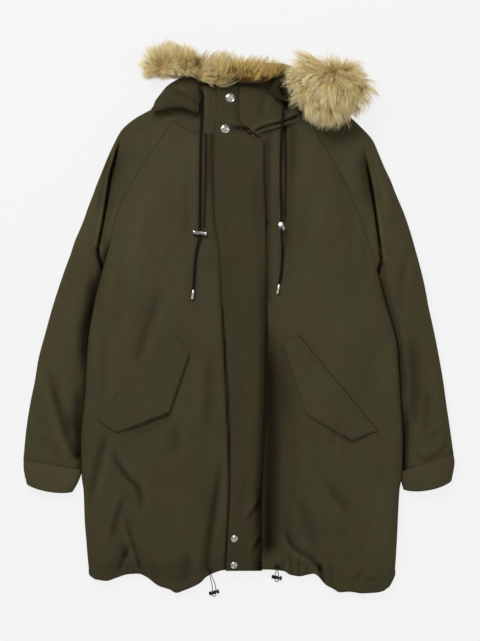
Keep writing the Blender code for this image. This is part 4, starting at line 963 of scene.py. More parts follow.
collar = {
    "rows": 38, "topHeight": 33.0, "edgeDip": 2.0, "seamDip": 0.3,
    right: columns("x y", ((-127, 412), (-100, 436), (-80, 445), (0, 445))),
    left: columns("x y", ((-30, 445), (62, 445), (96, 438), (133, 414))),
}
collarFolds = {
    right: (
        (((-72.2, 440.8), (-72.2, 418), (-72.2, 391.4)), 2.2, 2.6, 0.5, 0.8, 0.75, 0.1, 0.05),
        (((-91.2, 444.6), (-89.3, 418), (-85.5, 399)), 4, 1, 0.1, 0.3, 0.12, 0.3, 0.3),
        (((-53.2, 437), (-51.3, 410.4), (-51.3, 387.6)), 3.5, 0.8, 0.1, 0.3, 0.1, 0.3, 0.3),
    ),
    left: (
        (((53.2, 433.2), (41.8, 410.4), (41.8, 383.8)), 4, 1.4, 0.2, 0.5, 0.2, 0.3, 0.3),
        (((87.4, 437), (85.5, 414.2), (91.2, 395.2)), 6, 2, 0.2, 0.5, 0.75, 0.2, 0.2),
        (((41.8, 433.2), (60.8, 435.1), (83.6, 425.6), (106.4, 406.6)), 5, 2.2, 0.2, 0.5, 0.85, 0.3, 0.1),
        (((30.4, 360.6), (48.4, 367.6), (73, 374.7), (100.7, 384.4), (112.1, 391.4)),
         2.8, 2.4, 0.4, 0.8, 0.8, 0, 0.1),
        (((34.2, 349.6), (52.1, 356.4), (79.8, 363.5), (98.8, 372.4)), 3, 1.8, 0.3, 0.5, 0.55, 0, 0.2),
        (((57, 448.4), (83.6, 440.8), (108.3, 418), (117.8, 395.2)), 7, 1, 0, 0, 0.6, 0, 0),
        (((64.6, 448.4), (68.4, 425.6)), 5, 1.5, 0.2, 0.5, 0.25, 0.3, 0.3),
    ),
}


def collarPiece(side):
    seam = frontGrids[side][0]
    share = np.linspace(0, 1, collar["rows"])[:, None]
    edge = placketEdge(side, seam[-1, 1])
    reach = np.clip((seam[:, 0] - seam[0, 0]) / (edge - seam[0, 0]), 0, 1.2)
    topY = through(collar[side]["x"], collar[side]["y"], seam[:, 0])
    y = seam[:, 1] + 0.3 + (topY - seam[:, 1] - 0.3) * share
    x = seam[:, 0] + (placketEdge(side, y) - edge) * reach ** 2
    z = seam[:, 2] + (collar["topHeight"] - neckHeight) * share
    grid = np.stack([x, y, z], axis=2)
    change, dark = foldField(x, y, collarFolds[side])
    change += 0.4 * waveField(x + 200, y)
    seamDip, topDip = bell(share * 60, 3), bell((1 - share) * 60, 3)
    grid[..., 2] += change - collar["seamDip"] * seamDip - collar["edgeDip"] * topDip
    # painted shade along the neck seam's dip
    clothPiece(f"collar_{sideName[side]}", grid, shell["thickness"], clothFinish, dark + 0.1 * seamDip)


placket = {
    "rows": 262, "columns": 27, "top": 445, "lift": 0.4, "thickness": 3.6, "bevel": 2.6, "wall": 0.95,
    "foot": ((-1.4, 0.86), (-2.0, 0.5), (-1.6, 0.1)),  # rows past the lower end: down, and the height's share
}
placketFolds = (
    (((41.8, -336.3), (26.6, -361), (9.5, -387.6)), 3.4, 1.6, 0.3, -0.8, 0.3, 0.2, 0.4),
    (((41.8, -406.6), (30.4, -427.5), (20.9, -450.3)), 3.4, 1.4, 0.3, -0.7, 0.28, 0.2, 0.4),
    (((11.4, -285), (5.7, -326.8), (0, -370.5)), 6, 1, 0, 0.4, 0.1, 0.4, 0.4),
    (((45.6, -285), (36.1, -342), (32.3, -418)), 5, 1, 0, 0.3, 0.12, 0.4, 0.4),
    (((-38, 364.8), (0, 362.9), (41.8, 361)), 6, 0.9, 0, 0.5, 0.16, 0.2, 0.2),
    (((5.7, 359.1), (18.4, 354.2), (34.6, 349.6), (45.6, 353.4)), 2.6, 1, 0.1, 0, 0.45, 0.4, 0),
    (((-18.1, 368.6), (-7.6, 365.8), (13.3, 362.1), (31, 359.9), (45.6, 365.6)),
     2.4, 1.2, 0.2, 0, 0.72, 0.3, 0),
    (((-30.4, 266), (-26.6, 114), (-22.8, -38)), 6, 0.6, 0, 0.3, 0.04, 0.4, 0.4),
    (((30.4, 323), (32.3, 171), (34.2, 38)), 6, 0.7, 0, 0.3, 0.05, 0.4, 0.4),
    (((22.8, -463.6), (49.4, -461.7)), 1.4, 0.8, 0.4, 0, 0.35, 0.2, 0),
    (((19, -471.2), (49.4, -470.2)), 1.4, 0.8, 0.4, 0, 0.35, 0.2, 0),
)


def placketPiece():
    y = np.linspace(placket["top"], hemY, placket["rows"])
    above = neckHeight + (y - neckY) / (placket["top"] - neckY)
    base = np.where(y > neckY, above, through(bodyRows["y"], bodyRows["height"], np.minimum(y, neckY)))
    bevelAt = np.array((0.0, 0.25, 0.55, 1.0))
    turn = np.sin(bevelAt * np.pi / 2)
    inset = placket["bevel"] * (1 - np.cos(bevelAt * np.pi / 2))
    share = np.linspace(0, 1, placket["columns"] + 2)[1:-1]
    up = np.concatenate([turn, np.ones(len(share)), turn[::-1]])
    grid = []
    for here, low, a, b in zip(y, base + placket["lift"], placketEdge(right, y), placketEdge(left, y)):
        middle = a + placket["bevel"] + (b - a - 2 * placket["bevel"]) * share
        x = np.concatenate([a + inset, middle, b - inset[::-1]])
        thin = 1 - 0.8 * smoothRun((here - 330) / 24) * smoothRun((x - a) / (b - a))
        z = low + placket["thickness"] * (0.12 + 0.88 * up) * thin
        grid.append(np.stack([x, np.full(len(x), here), z], axis=1))
    grid = np.array(grid)
    change, dark = foldField(grid[..., 0], grid[..., 1], placketFolds)
    change += 0.35 * waveField(grid[..., 0] + 60, grid[..., 1])
    edge = np.minimum(grid[..., 0] - grid[:, :1, 0], grid[:, -1:, 0] - grid[..., 0])
    change += 0.5 * bell(edge - 3.5, 2.6) - 0.45 * bell(edge - 7.5, 1.2)
    grid[..., 2] += change * up ** 2
    # below the chest the left edge is turned in, and lies in the shade of the front beside it
    turnedIn = smoothRun((160 - y) / 200)[:, None]
    fromLeft = grid[:, -1:, 0] - grid[..., 0]
    grid[..., 2] -= turnedIn * 2.4 * bell(fromLeft, 7.0)
    dark += turnedIn * 0.72 * bell(fromLeft, 13.0)
    # above the chest, a lighter painted shade runs along that edge too
    dark += 0.22 * (1 - turnedIn) * bell(fromLeft, 9.0)
    foot, ends = grid[-1], []
    for down, part in placket["foot"]:
        row = foot.copy()
        row[:, 1] += down
        row[:, 2] -= (1 - part) * placket["thickness"]
        ends.append(row)
    grid = np.concatenate([grid, np.array(ends)])
    clothPiece("placket", grid, placket["wall"], clothFinish, np.concatenate([dark, dark[-3:]]))


flap = {
    "columns": 92, "rows": 46, "gap": 0.9, "thickness": 3.4, "edge": 1.5, "topSeam": 9.0, "edgeSeam": 6.0,
    right: {"top": ((-270, -188), (-124, -30)), "low": columns("share x y", (
        (0, -262, -198), (0.14, -234, -215), (0.74, -134, -176), (0.97, -97, -68), (1, -97, -62)))},
    left: {"top": ((264, -212), (111, -28)), "low": columns("share x y", (
        (0, 249, -215), (0.14, 213, -230), (0.74, 125, -180), (0.97, 83, -52), (1, 83, -46)))},
}


def polygonGap(x, y, corners):
    # the distance from each place to the outline's nearest edge
    best = np.full(x.shape, 1e9)
    for a, b in zip(corners, np.roll(corners, -1, axis=0)):
        run = b - a
        t = np.clip(((x - a[0]) * run[0] + (y - a[1]) * run[1]) / (run @ run), 0, 1)
        best = np.minimum(best, np.hypot(x - a[0] - t * run[0], y - a[1] - t * run[1]))
    return best


def flapCorners(side):
    top, low = np.array(flap[side]["top"], float), flap[side]["low"]
    return np.vstack([top[:1], np.stack([low["x"], low["y"]], axis=1), top[1:]])


def flapPiece(side):
    facts = flap[side]
    start, end = np.array(facts["top"], float)
    low = facts["low"]
    across = np.unique(np.concatenate([np.linspace(0, 1, flap["columns"]), low["share"], (0.004, 0.996)]))
    share = np.unique(np.concatenate([np.linspace(0, 1, flap["rows"]), (0.01, 0.99)]))[:, None]
    sharpLow = np.stack([np.interp(across, low["share"], low[k]) for k in ("x", "y")], axis=1)
    softLow = sharpLow.copy()
    softLow[1:-1] = (sharpLow[:-2] + 2 * sharpLow[1:-1] + sharpLow[2:]) / 4
    top = start + np.outer(across, end - start)
    x = top[:, 0] + (softLow[:, 0] - top[:, 0]) * share
    y = top[:, 1] + (softLow[:, 1] - top[:, 1]) * share
    below = np.array([[heightAt(a, b, f"front_{sideName[side]}") for a, b in zip(*row)] for row in zip(x, y)])
    smooth = below.copy()
    for _ in range(6):
        smooth[1:-1, 1:-1] = (smooth[:-2, 1:-1] + smooth[2:, 1:-1] + smooth[1:-1, :-2] + smooth[1:-1, 2:]) / 4
    below = np.maximum(smooth, below)
    inside = polygonGap(x, y, flapCorners(side))
    topGap = polygonGap(x, y, np.array([start, end]))
    # painted shade along the top seam, deeper on one flap than the other, and in the seam's groove below it
    dark = (0.30 + 0.15 * side) * bell(topGap - 0.6, 1.4) + 0.26 * bell(topGap - flap["topSeam"], 1.0)
    rise = flap["thickness"] * (1 - np.exp(-(inside / flap["edge"]) ** 1.3))
    rise -= 0.55 * bell(topGap - flap["topSeam"], 1.2) + 0.3 * bell(inside - flap["edgeSeam"], 1.0)
    rise += 0.35 * waveField(x + 77, y) + 0.5 * np.sin(np.pi * share) ** 2
    grid = np.dstack([x, y, below + flap["gap"] + np.maximum(rise, 0)])
    clothPiece(f"pocket_flap_{sideName[side]}", grid, shell["flapThickness"], clothFinish, dark)


hood = {
    "corners": 72, "roundness": 0.72, "caps": (0.05, 0.35, 0.62, 0.82, 0.95), "capReach": 5.0,
    "hood_bag": columns("x y0 y1 z0 z1", (
        (-118, 418, 462, 0, 14), (-108, 411, 476, 0, 22), (-80, 402, 488, 0, 26), (-30, 396, 492, 0, 26),
        (30, 396, 491, 0, 26), (84, 402, 488, 0, 26), (110, 412, 476, 0, 22), (120, 419, 460, 0, 14))),
    "hood_side_right": columns("x y0 y1 z0 z1", (
        (-164, 394, 408, 31, 40), (-160, 395, 417, 30.5, 46), (-150, 397, 430, 30.5, 51),
        (-139, 400, 443, 30.5, 54), (-126, 402, 452, 35, 56), (-114, 402, 458, 35.5, 57),
        (-101, 399, 460, 36, 57), (-88, 393, 459, 36, 55), (-79, 392, 452, 36, 49))),
    "hood_side_left": columns("x y0 y1 z0 z1", (
        (60, 428, 447, 36, 40), (66, 420, 456, 36, 45), (80, 416, 467, 36, 47),
        (96, 414, 470, 36, 47), (106, 420, 462, 36, 43))),
}
hoodFolds = {
    "hood_side_right": (
        (((-136.8, 433.2), (-114, 427.5), (-91.2, 416.1), (-76, 402.8)), 5, 2, 0.2, 1, 0.18, 0.3, 0.3),
        (((-159.6, 448.4), (-129.2, 456), (-102.6, 459.8), (-72.2, 454.1)), 8, 2.6, 0, 0.8, 0.75, 0, 0),
        (((-102.6, 456), (-95, 437), (-83.6, 418)), 5, 1.6, 0.2, 0.6, 0.12, 0.3, 0.3),
        (((-129.2, 448.4), (-121.6, 433.2), (-117.8, 418)), 6, 1.2, 0.1, 0.5, 0.08, 0.3, 0.3),
    ),
    "hood_side_left": (
        (((72.2, 448.4), (79.8, 433.2), (87.4, 421.8)), 4, 1.6, 0.3, 0.6, 0.3, 0.3, 0.3),
    ),
}


def hoodPiece(name):
    # a folded roll of cloth, through rounded sections that close at both ends
    rows = hood[name]
    at = np.linspace(0, len(rows["x"]) - 1, 10 * (len(rows["x"]) - 1) + 1)
    x, *edges = (roundThrough(rows[k], at) for k in ("x", "y0", "y1", "z0", "z1"))
    caps = np.array(hood["caps"])
    capRound = hood["capReach"] * (1 - caps) ** 1.5
    sizes = np.concatenate([caps, np.ones(len(x)), caps[::-1]])
    x = np.concatenate([x[0] - capRound, x, x[-1] + capRound[::-1]])
    edges = [np.concatenate([np.full(len(caps), v[0]), v, np.full(len(caps), v[-1])]) for v in edges]
    across, up = roundedRing(hood["corners"], hood["roundness"])
    wide = across
    if name == "hood_bag":  # its folded layers show at the rounded edges
        wide = across * (1 - 0.05 * np.abs(across) ** 3 * np.abs(np.cos(1.5 * np.pi * up)) ** 3)
    grid = ringGrid(x, *edges, sizes, wide, up)
    change, dark = foldField(grid[..., 0], grid[..., 1], hoodFolds.get(name, ()))
    change += 1.2 * waveField(grid[..., 0] * 1.4 + 300, grid[..., 1] * 1.4)
    crown = np.maximum(up, 0)[None, :] * smoothRun(sizes)[:, None]
    grid[..., 2] = np.maximum(grid[..., 2] + change * crown, floorGap)
    # painted shade on the underside of the roll, where light does not reach
    dark = dark * crown + 0.5 * np.maximum(-up, 0)[None, :] ** 2
    clothPiece(name, grid, shell["hoodThickness"], clothFinish, dark, wrap=True, facing="out")


frontGrids = {}


def makeCloth():
    for side in (right, left):
        frontGrids[side] = frontPiece(side)
    print("fronts ready")
    backPiece()
    for side in (right, left):
        sleeveFrontPiece(side)
        sleeveBackPiece(side)
        cuffPiece(side)
        collarPiece(side)
    placketPiece()
    for side in (right, left):
        flapPiece(side)
    for name in ("hood_bag", "hood_side_right", "hood_side_left"):
        hoodPiece(name)
    print("cloth pieces ready")


makeCloth()


# cords and metal pieces
cordFacts = {
    "hoodDiameter": 5.0, "hemDiameter": 1.6, "hoodSides": 18, "hemSides": 10,
    "braid": 0.32, "strands": 6, "lay": 9.0,
}
hoodRoute = {
    right: ((-72, 433, 37), (-72, 412, 37.6), (-72.6, 391, 37.6), (-74, 361, 36.4), (-75, 323, 37.8),
            (-75.5, 275, 39.4), (-76, 228, 39.8), (-76.4, 190, 41.6), (-76.3, 175, 42.2),
            (-76.2, 165.3, 42.2),
            (-76.4, 156, 42.1), (-78.8, 146, 41.2), (-82.4, 131, 39.8), (-85, 110, 39.6), (-87, 84, 39),
            (-88.4, 57.4, 38.6)),
    left: ((82, 403, 37), (80.4, 384, 37), (78.6, 352, 36.6), (77.4, 304, 38.2), (77.2, 262, 39.8),
           (77.6, 228, 44), (78.2, 200, 49.4), (78.5, 186, 50.4), (78.5, 177.6, 50.4), (78.6, 168, 50.2),
           (79.6, 152, 47), (80.4, 130, 41.2), (79.8, 112, 39.2), (78.6, 96, 38.6), (76.6, 80, 38.4),
           (74.2, 68.2, 38.4)),
}
# Each hem cord is a loop: the line between its two strands, and how far each is from it.
hemRoute = {
    right: ((-57.4, -476, 18, 1.4), (-57.3, -476.8, 19.8, 1.4), (-57, -479, 21.2, 1.4),
            (-56.4, -483, 20.6, 1.5), (-55.2, -488.5, 18.6, 1.8), (-53.6, -493.5, 14.6, 2.2),
            (-51.8, -499, 10.2, 2.6), (-50.4, -505, 7, 3), (-49.6, -511, 5.4, 3.2),
            (-49.4, -516, 5, 3.2), (-49.4, -524, 5, 3.2)),
    left: ((70.6, -469.9, 15, 1.3), (70.6, -470.8, 16.8, 1.3), (70.6, -473, 18.4, 1.4),
           (70.5, -476.8, 17.8, 1.6), (70.4, -480, 15.4, 2), (70.3, -482.2, 11.8, 2.6),
           (70.2, -483.6, 8.6, 3), (70.2, -485.4, 6.8, 3.2), (70.2, -487.6, 6.4, 3.2),
           (70.2, -496, 6.4, 3.2)),
}
hoodLock = {right: ((-76.2, 165.3, 42.2), (1, -0.12, 0)), left: ((78.5, 177.6, 50.4), (-0.13, 0.27, 0.954))}
agletTurn = {right: (-0.15, -0.989, 0), left: (-0.19, -0.982, 0)}
hemLock = {right: ((-49.4, -519.8, 5.0), (0.966, 0.259, 0)), left: ((70.2, -491.2, 6.4), (0.985, -0.174, 0))}


def braidedCord(name, route, diameter, sides, material):
    # a tube whose skin rises and falls as crossing strands do
    path = evenPath(route, 1.0 if diameter > 3 else 0.7)
    count = len(path)
    along = np.gradient(path, axis=0)
    along /= np.linalg.norm(along, axis=1)[:, None]
    side = np.cross(along, (0, 0, 1.0))
    steep = np.linalg.norm(side, axis=1) < 0.2
    side[steep] = np.cross(along[steep], (0, 1.0, 0))
    side /= np.linalg.norm(side, axis=1)[:, None]
    for i in range(1, count):
        carried = side[i - 1] - along[i] * (side[i - 1] @ along[i])
        side[i] = carried / np.linalg.norm(carried)
    up = np.cross(side, along)
    gone = runningLength(path)
    angle = 2 * np.pi * np.arange(sides) / sides
    twist = 2 * np.pi * gone[:, None] / (cordFacts["lay"] * diameter / 5)
    strands = cordFacts["strands"] / 2
    weave = np.maximum(np.cos(strands * (angle + twist)), np.cos(strands * (angle - twist)))
    radius = diameter / 2 * (1 - cordFacts["braid"] * 0.25 * (1 - weave))
    ends = np.minimum(gone, gone[-1] - gone)[:, None]
    radius = radius * np.sqrt(np.clip(ends / (diameter * 0.3), 0.02, 1))
    outwards = np.cos(angle)[None, :, None] * side[:, None] + np.sin(angle)[None, :, None] * up[:, None]
    points = path[:, None] + radius[..., None] * outwards
    faces = gridFaces(count, sides, True)[:, ::-1].tolist()
    faces += [list(range(sides)), list(range(count * sides - 1, (count - 1) * sides - 1, -1))]
    obj = linkMesh(name, points.reshape(-1, 3), faces)
    faceOutwards(obj)
    obj.data.shade_smooth()
    places = np.stack([np.tile(angle / (2 * np.pi), count), np.repeat(gone * mm, sides)], axis=1)
    storePlaces(obj.data, "cord", places)
    obj.data.materials.append(material)
    return obj, path, gone[-1]


def cordFinish():
    material, tree, shader = freshMaterial("blackBraid")
    place = addNode(tree, "ShaderNodeTexCoord").outputs["Object"]
    lint = addNoise(tree, place, 1600.0, 2.0)["Fac"]
    setInputs(tree, shader, {
        "Base Color": addRamp(tree, lint, ((0.35, "#110A07"), (1.0, "#2A1B13"))),
        "Normal": addBump(tree, lint, 0.5, 0.0002).outputs["Normal"],
        "Roughness": 0.7, "Specular IOR Level": 0.12,
    })
    return material


def metalFinish(name, pale, dark, roughness, scratch):
    # plated metal: faint brush marks, small spots, and dull patches
    material, tree, shader = freshMaterial(name)
    place = addNode(tree, "ShaderNodeTexCoord").outputs["Object"]
    stretch = addNode(tree, "ShaderNodeMapping", {"Vector": place, "Scale": (1.0, 1.0, 6.0)})
    marks = addNoise(tree, stretch.outputs["Vector"], 900.0, 3.0, 0.6)["Fac"]
    patches = addNoise(tree, place, 260.0, 2.0)["Fac"]
    reach = {"Value": marks, "To Min": roughness * 0.7, "To Max": roughness * 1.5}
    setInputs(tree, shader, {
        "Base Color": addRamp(tree, patches, ((0.38, dark), (0.60, pale))),
        "Normal": addBump(tree, marks, scratch, 0.0001).outputs["Normal"],
        "Roughness": addNode(tree, "ShaderNodeMapRange", reach).outputs["Result"], "Metallic": 1.0,
    })
    return material


def turnedPiece(name, profile, centre, axis, segments, material):
    # a turned piece from rings of radius and height
    turn = np.array(Vector((0, 0, 1)).rotation_difference(Vector(axis).normalized()).to_matrix())
    angle = 2 * np.pi * np.arange(segments) / segments
    rings = []
    for radius, height in profile:
        level = np.full(segments, float(height))
        rings.append(np.stack([radius * np.cos(angle), radius * np.sin(angle), level], axis=1))
    points = np.concatenate(rings) @ turn.T + np.array(centre)
    faces = gridFaces(len(profile), segments, True).tolist()
    last = (len(profile) - 1) * segments
    faces += [list(range(segments))[::-1], list(range(last, last + segments))]
    obj = linkMesh(name, points, faces)
    faceOutwards(obj)
    obj.data.shade_smooth()
    obj.data.set_sharp_from_angle(angle=math.radians(38))
    obj.data.materials.append(material)
    return obj


blackBraid = cordFinish()
nickel = metalFinish("polishedNickel", "#F1EFEA", "#A9A69E", 0.16, 0.08)
blackNickel = metalFinish("blackNickel", "#4A4846", "#1C1B1A", 0.28, 0.08)
lockFacts = {
    "hood": {"diameter": 10.0, "length": 27.0, "ribs": 7, "segments": 40, "hole": (5.6, 5.6)},
    "hem": {"diameter": 8.0, "length": 20.0, "ribs": 5, "segments": 32, "hole": (9.2, 2.5)},
    "button": 7.0,
}


def lockProfile(diameter, length, ribs):
    # a ribbed barrel with rolled ends, then the waist and the button that a spring pushes out
    r, low = diameter / 2, -length / 2
    top = low + length - lockFacts["button"]
    rings = [(0.55, low), (0.82, low + 0.2), (0.98, low + 0.9), (1, low + 1.6), (0.93, low + 2.0)]
    start, end = low + 2.2, top - 2.2
    step = (end - start) / ribs
    for i in range(ribs):
        a = start + (end - start) * i / ribs
        ribShape = ((0.74, 0.14), (0.97, 0.40), (0.97, 0.68), (0.74, 0.92))
        rings += [(share, a + part * step) for share, part in ribShape]
    rings += [(0.93, top - 2.0), (1, top - 1.6), (1, top - 0.5), (0.90, top), (0.52, top + 0.15),
              (0.48, top + 2), (0.88, top + 2.3), (1, top + 2.9), (1.04, top + 3.8), (1.05, top + 5.2),
              (1, top + 6.2), (0.92, top + 6.6), (0.6, top + 6.85), (0.2, top + 7)]
    return [(share * r, height) for share, height in rings]


agletProfile = (
    (1.4, 0), (2.7, 0.1), (2.8, 0.5), (2.55, 1), (2.55, 2.2), (2.75, 2.5), (2.75, 13.5),
    (2.6, 14), (2.6, 14.8), (2.75, 15.2), (2.7, 17.6), (2.3, 18.6), (1.5, 19))
snapTable = columns("x y radius", (
    (-19, 422, 9), (-28.5, 363, 8.5), (-10.6, -415.5, 6.8), (-11.5, -466.5, 6.8)))
eyeletProfile = (
    (2.7, -0.6), (4.3, -0.5), (4.6, 0.2), (4.5, 0.8), (4.1, 1.3), (3.5, 1.5), (3, 1.2), (2.75, 0.6))
# A press stud's cap: shares of its radius, and heights for a radius of 9 mm.
snapProfile = (
    (0.86, -0.2), (0.98, 0.1), (1, 0.7), (0.97, 1.3), (0.9, 1.7), (0.84, 1.55), (0.8, 1.5), (0.77, 2),
    (0.72, 2.6), (0.62, 3), (0.48, 3.25), (0.34, 3.3), (0.26, 3.05), (0.2, 3), (0.1, 3.2), (0.02, 3.25))
eyeletPlace = {right: (-57.4, -475.6), left: (70.6, -469.6)}


def seat(x, y, radius, *names):
    # where a round piece sits on a sloping cloth: its centre and its axis
    west, east = heightAt(x - radius, y, *names), heightAt(x + radius, y, *names)
    south, north = heightAt(x, y - radius, *names), heightAt(x, y + radius, *names)
    axis = Vector((west - east, south - north, 2 * radius)).normalized()
    return Vector((x, y, max(heightAt(x, y, *names), (west + east) / 2))), axis


def holed(obj, centre, along, up, size):
    # an oval passage for the cord, cut through a lock
    along, up = Vector(along).normalized(), Vector(up).normalized()
    across = along.cross(up)
    wide, tall = (across * size[0] / 2, up * size[1] / 2)
    corners, halfLength = 24, 12
    points = []
    for end in (-1, 1):
        for i in range(corners):
            a = 2 * math.pi * i / corners
            spot = Vector(centre) + along * end * halfLength + wide * math.cos(a) + tall * math.sin(a)
            points.append(spot * mm)
    faces = [(i, (i + 1) % corners, (i + 1) % corners + corners, i + corners) for i in range(corners)]
    faces += [list(range(corners))[::-1], list(range(corners, 2 * corners))]
    mesh = bpy.data.meshes.new("passage")
    mesh.from_pydata(points, [], faces)
    cutter = bpy.data.objects.new("passage", mesh)
    scene.collection.objects.link(cutter)
    faceOutwards(cutter)
    hole = obj.modifiers.new("passage", "BOOLEAN")
    hole.operation, hole.solver, hole.object = "DIFFERENCE", "EXACT", cutter
    settle(obj)
    bpy.data.objects.remove(cutter, do_unlink=True)


def makeLock(kind, side, place, along, material):
    facts = lockFacts[kind]
    centre, axis = place[side]
    profile = lockProfile(facts["diameter"], facts["length"], facts["ribs"])
    lock = turnedPiece(f"{kind}_lock_{sideName[side]}", profile, centre, axis, facts["segments"], material)
    holed(lock, centre, along, (0, 0, 1), facts["hole"])
    return lock


def declareCord(cord):
    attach(cord, "root")


def makeHoodCord(side):
    hand, thick, sides = sideName[side], cordFacts["hoodDiameter"], cordFacts["hoodSides"]
    cord, path, length = braidedCord(f"hood_cord_{hand}", hoodRoute[side], thick, sides, blackBraid)
    lock = makeLock("hood", side, hoodLock, (0, -1, 0), nickel)
    turn = Vector(agletTurn[side]).normalized()
    aglet = turnedPiece(f"aglet_{hand}", agletProfile, Vector(path[-1]) + turn * 0.3, turn, 32, nickel)
    declareCord(cord)
    print("hood cord", hand, round(length, 1), "mm")


def makeHemCord(side):
    # down one strand of the loop, round its end and back up the other
    hand, thick = sideName[side], cordFacts["hemDiameter"]
    rows = np.array(hemRoute[side])
    apart = np.outer(rows[:, 3], (1, 0, 0))
    x, y, z, spread = rows[-1]
    turns = (math.pi / 4, math.pi / 2, 3 * math.pi / 4)
    end = [(x - spread * math.cos(a), y - spread * math.sin(a), z) for a in turns]
    loop = np.concatenate([rows[:, :3] - apart, end, (rows[:, :3] + apart)[::-1]])
    cord, path, length = braidedCord(f"hem_cord_{hand}", loop, thick, cordFacts["hemSides"], blackBraid)
    lock = makeLock("hem", side, hemLock, (0, 1, 0), blackNickel)
    declareCord(cord)
    print("hem cord", hand, round(length, 1), "mm")


def makeEyelet(side):
    # a turned ring without its caps, and its first and last rings joined inside the hole
    hand = sideName[side]
    base, axis = seat(*eyeletPlace[side], 4.5, f"front_{hand}")
    eyelet = turnedPiece(f"hem_eyelet_{hand}", eyeletProfile, base + axis * 0.3, axis, 32, blackNickel)
    shape = bmesh.new()
    shape.from_mesh(eyelet.data)
    caps = [face for face in shape.faces if len(face.verts) > 4]
    bmesh.ops.delete(shape, geom=caps, context="FACES_ONLY")
    bmesh.ops.bridge_loops(shape, edges=[e for e in shape.edges if e.is_boundary])
    shape.to_mesh(eyelet.data)
    shape.free()
    faceOutwards(eyelet)


def makeSnaps():
    for number, (x, y, radius) in enumerate(zip(*snapTable.values()), start=1):
        base, axis = seat(x, y, radius, "placket")
        profile = [(radius * r, h * radius / 9) for r, h in snapProfile]
        turnedPiece(f"snap_{number}", profile, base + axis * 0.25, axis, 48, nickel)


for wearerSide in (right, left):
    makeHoodCord(wearerSide)
    makeHemCord(wearerSide)
    makeEyelet(wearerSide)
makeSnaps()
print("cords and metal ready")


# stitches
stitch = {
    "length": 2.6, "pitch": 3.5, "width": 0.55, "height": 0.34, "sink": 0.06, "colour": "#4E4A34",
    "raised": 0.12,  # the stitches below keep clear of the floor
}
sewing = {}


def namedField(tree, name, kind):
    # values that are stored at the points under this name
    node = addNode(tree, "GeometryNodeInputNamedAttribute", {"Name": name}, data_type=kind)
    return node.outputs["Attribute"]


def stitchTree():
    # a thread's stitch at every pitch along a line
    tree, given, result = newTree("stitchRun", (
        ("Geometry", "Geometry"), ("Pitch", "Float"), ("Stitch Length", "Float"), ("Thread Width", "Float"),
        ("Thread Height", "Float"), ("Thread", "Material")))
    joined = addNode(tree, "GeometryNodeMeshToCurve", {"Mesh": given["Geometry"]})
    even = addNode(tree, "GeometryNodeCurveToPoints",
                   {"Curve": joined.outputs["Curve"], "Length": given["Pitch"]}, mode="LENGTH")
    size = addNode(tree, "ShaderNodeCombineXYZ",
                   {0: given["Stitch Length"], 1: given["Thread Width"], 2: given["Thread Height"]})
    sphere = addNode(tree, "GeometryNodeMeshIcoSphere", {"Radius": 0.5, "Subdivisions": 1})
    shape = addNode(tree, "GeometryNodeTransform",
                    {"Geometry": sphere.outputs["Mesh"], "Scale": size.outputs[0]})
    lies = namedField(tree, "lies", "FLOAT_VECTOR")
    facing = addNode(tree, "FunctionNodeAxesToRotation",
                     {"Primary Axis": even.outputs["Tangent"], "Secondary Axis": lies},
                     primary_axis="X", secondary_axis="Z")
    place = addNode(tree, "GeometryNodeInstanceOnPoints", {
        "Points": even.outputs["Points"], "Instance": shape.outputs["Geometry"],
        "Rotation": facing.outputs["Rotation"]})
    real = addNode(tree, "GeometryNodeRealizeInstances", {"Geometry": place.outputs["Instances"]})
    paint = addNode(tree, "GeometryNodeSetMaterial",
                    {"Geometry": real.outputs["Geometry"], "Material": given["Thread"]})
    setInputs(tree, result, {"Geometry": paint.outputs["Geometry"]})
    return tree


def addTree(obj, name, tree, values):
    # a tree of nodes as a modifier, with its inputs given by name
    modifier = obj.modifiers.new(name, "NODES")
    modifier.node_group = tree
    for item in tree.interface.items_tree:
        if item.item_type == "SOCKET" and item.in_out == "INPUT" and item.name in values:
            modifier[item.identifier] = values[item.name]


def threadFinish():
    material, tree, shader = freshMaterial("oliveThread")
    place = addNode(tree, "ShaderNodeTexCoord").outputs["Object"]
    strand = addNoise(tree, place, 2500.0, 1.0)["Fac"]
    setInputs(tree, shader, {
        "Base Color": addRamp(tree, strand, ((0.0, "#3A3626"), (1.0, stitch["colour"]))),
        "Normal": addBump(tree, strand, 0.3, 0.0001).outputs["Normal"],
        "Roughness": 0.6, "Sheen Weight": 0.2,
    })
    return material


def lineOn(path, name, below=False):
    # a seam's line laid on a piece, with the way that the cloth faces at each point
    spots, ways = [], []
    for x, y in evenPath(path, 2.0)[:, :2]:
        spot, way = castOn(name, x, y, below)
        if spot:
            way = way if (way.z < 0) == below else -way
            spots.append(spot - way * stitch["sink"])
            ways.append(way)
    return spots, ways


def stitchPiece(name, lines, material, below=False):
    # all the stitches of one piece, as one mesh
    runs = [lineOn(path, name, below) for path in lines]
    runs = [(spots, ways) for spots, ways in runs if len(spots) > 2]
    places, joins = [], []
    for spots, _ in runs:
        joins += [(len(places) + i, len(places) + i + 1) for i in range(len(spots) - 1)]
        places += [tuple((spot + Vector((0, 0, stitch["raised"] * below))) * mm) for spot in spots]
    path = bpy.data.meshes.new(name + "_line")
    path.from_pydata(places, joins, [])
    storeValues(path, "lies", [tuple(way) for _, ways in runs for way in ways])
    line = bpy.data.objects.new(name + "_line", path)
    scene.collection.objects.link(line)
    addTree(line, "stitches", stitchTree(), {
        "Pitch": stitch["pitch"] * mm, "Stitch Length": stitch["length"] * mm,
        "Thread Width": stitch["width"] * mm, "Thread Height": stitch["height"] * mm, "Thread": material,
    })
    sewing[name] = meshFrom(line, name + "_stitches")


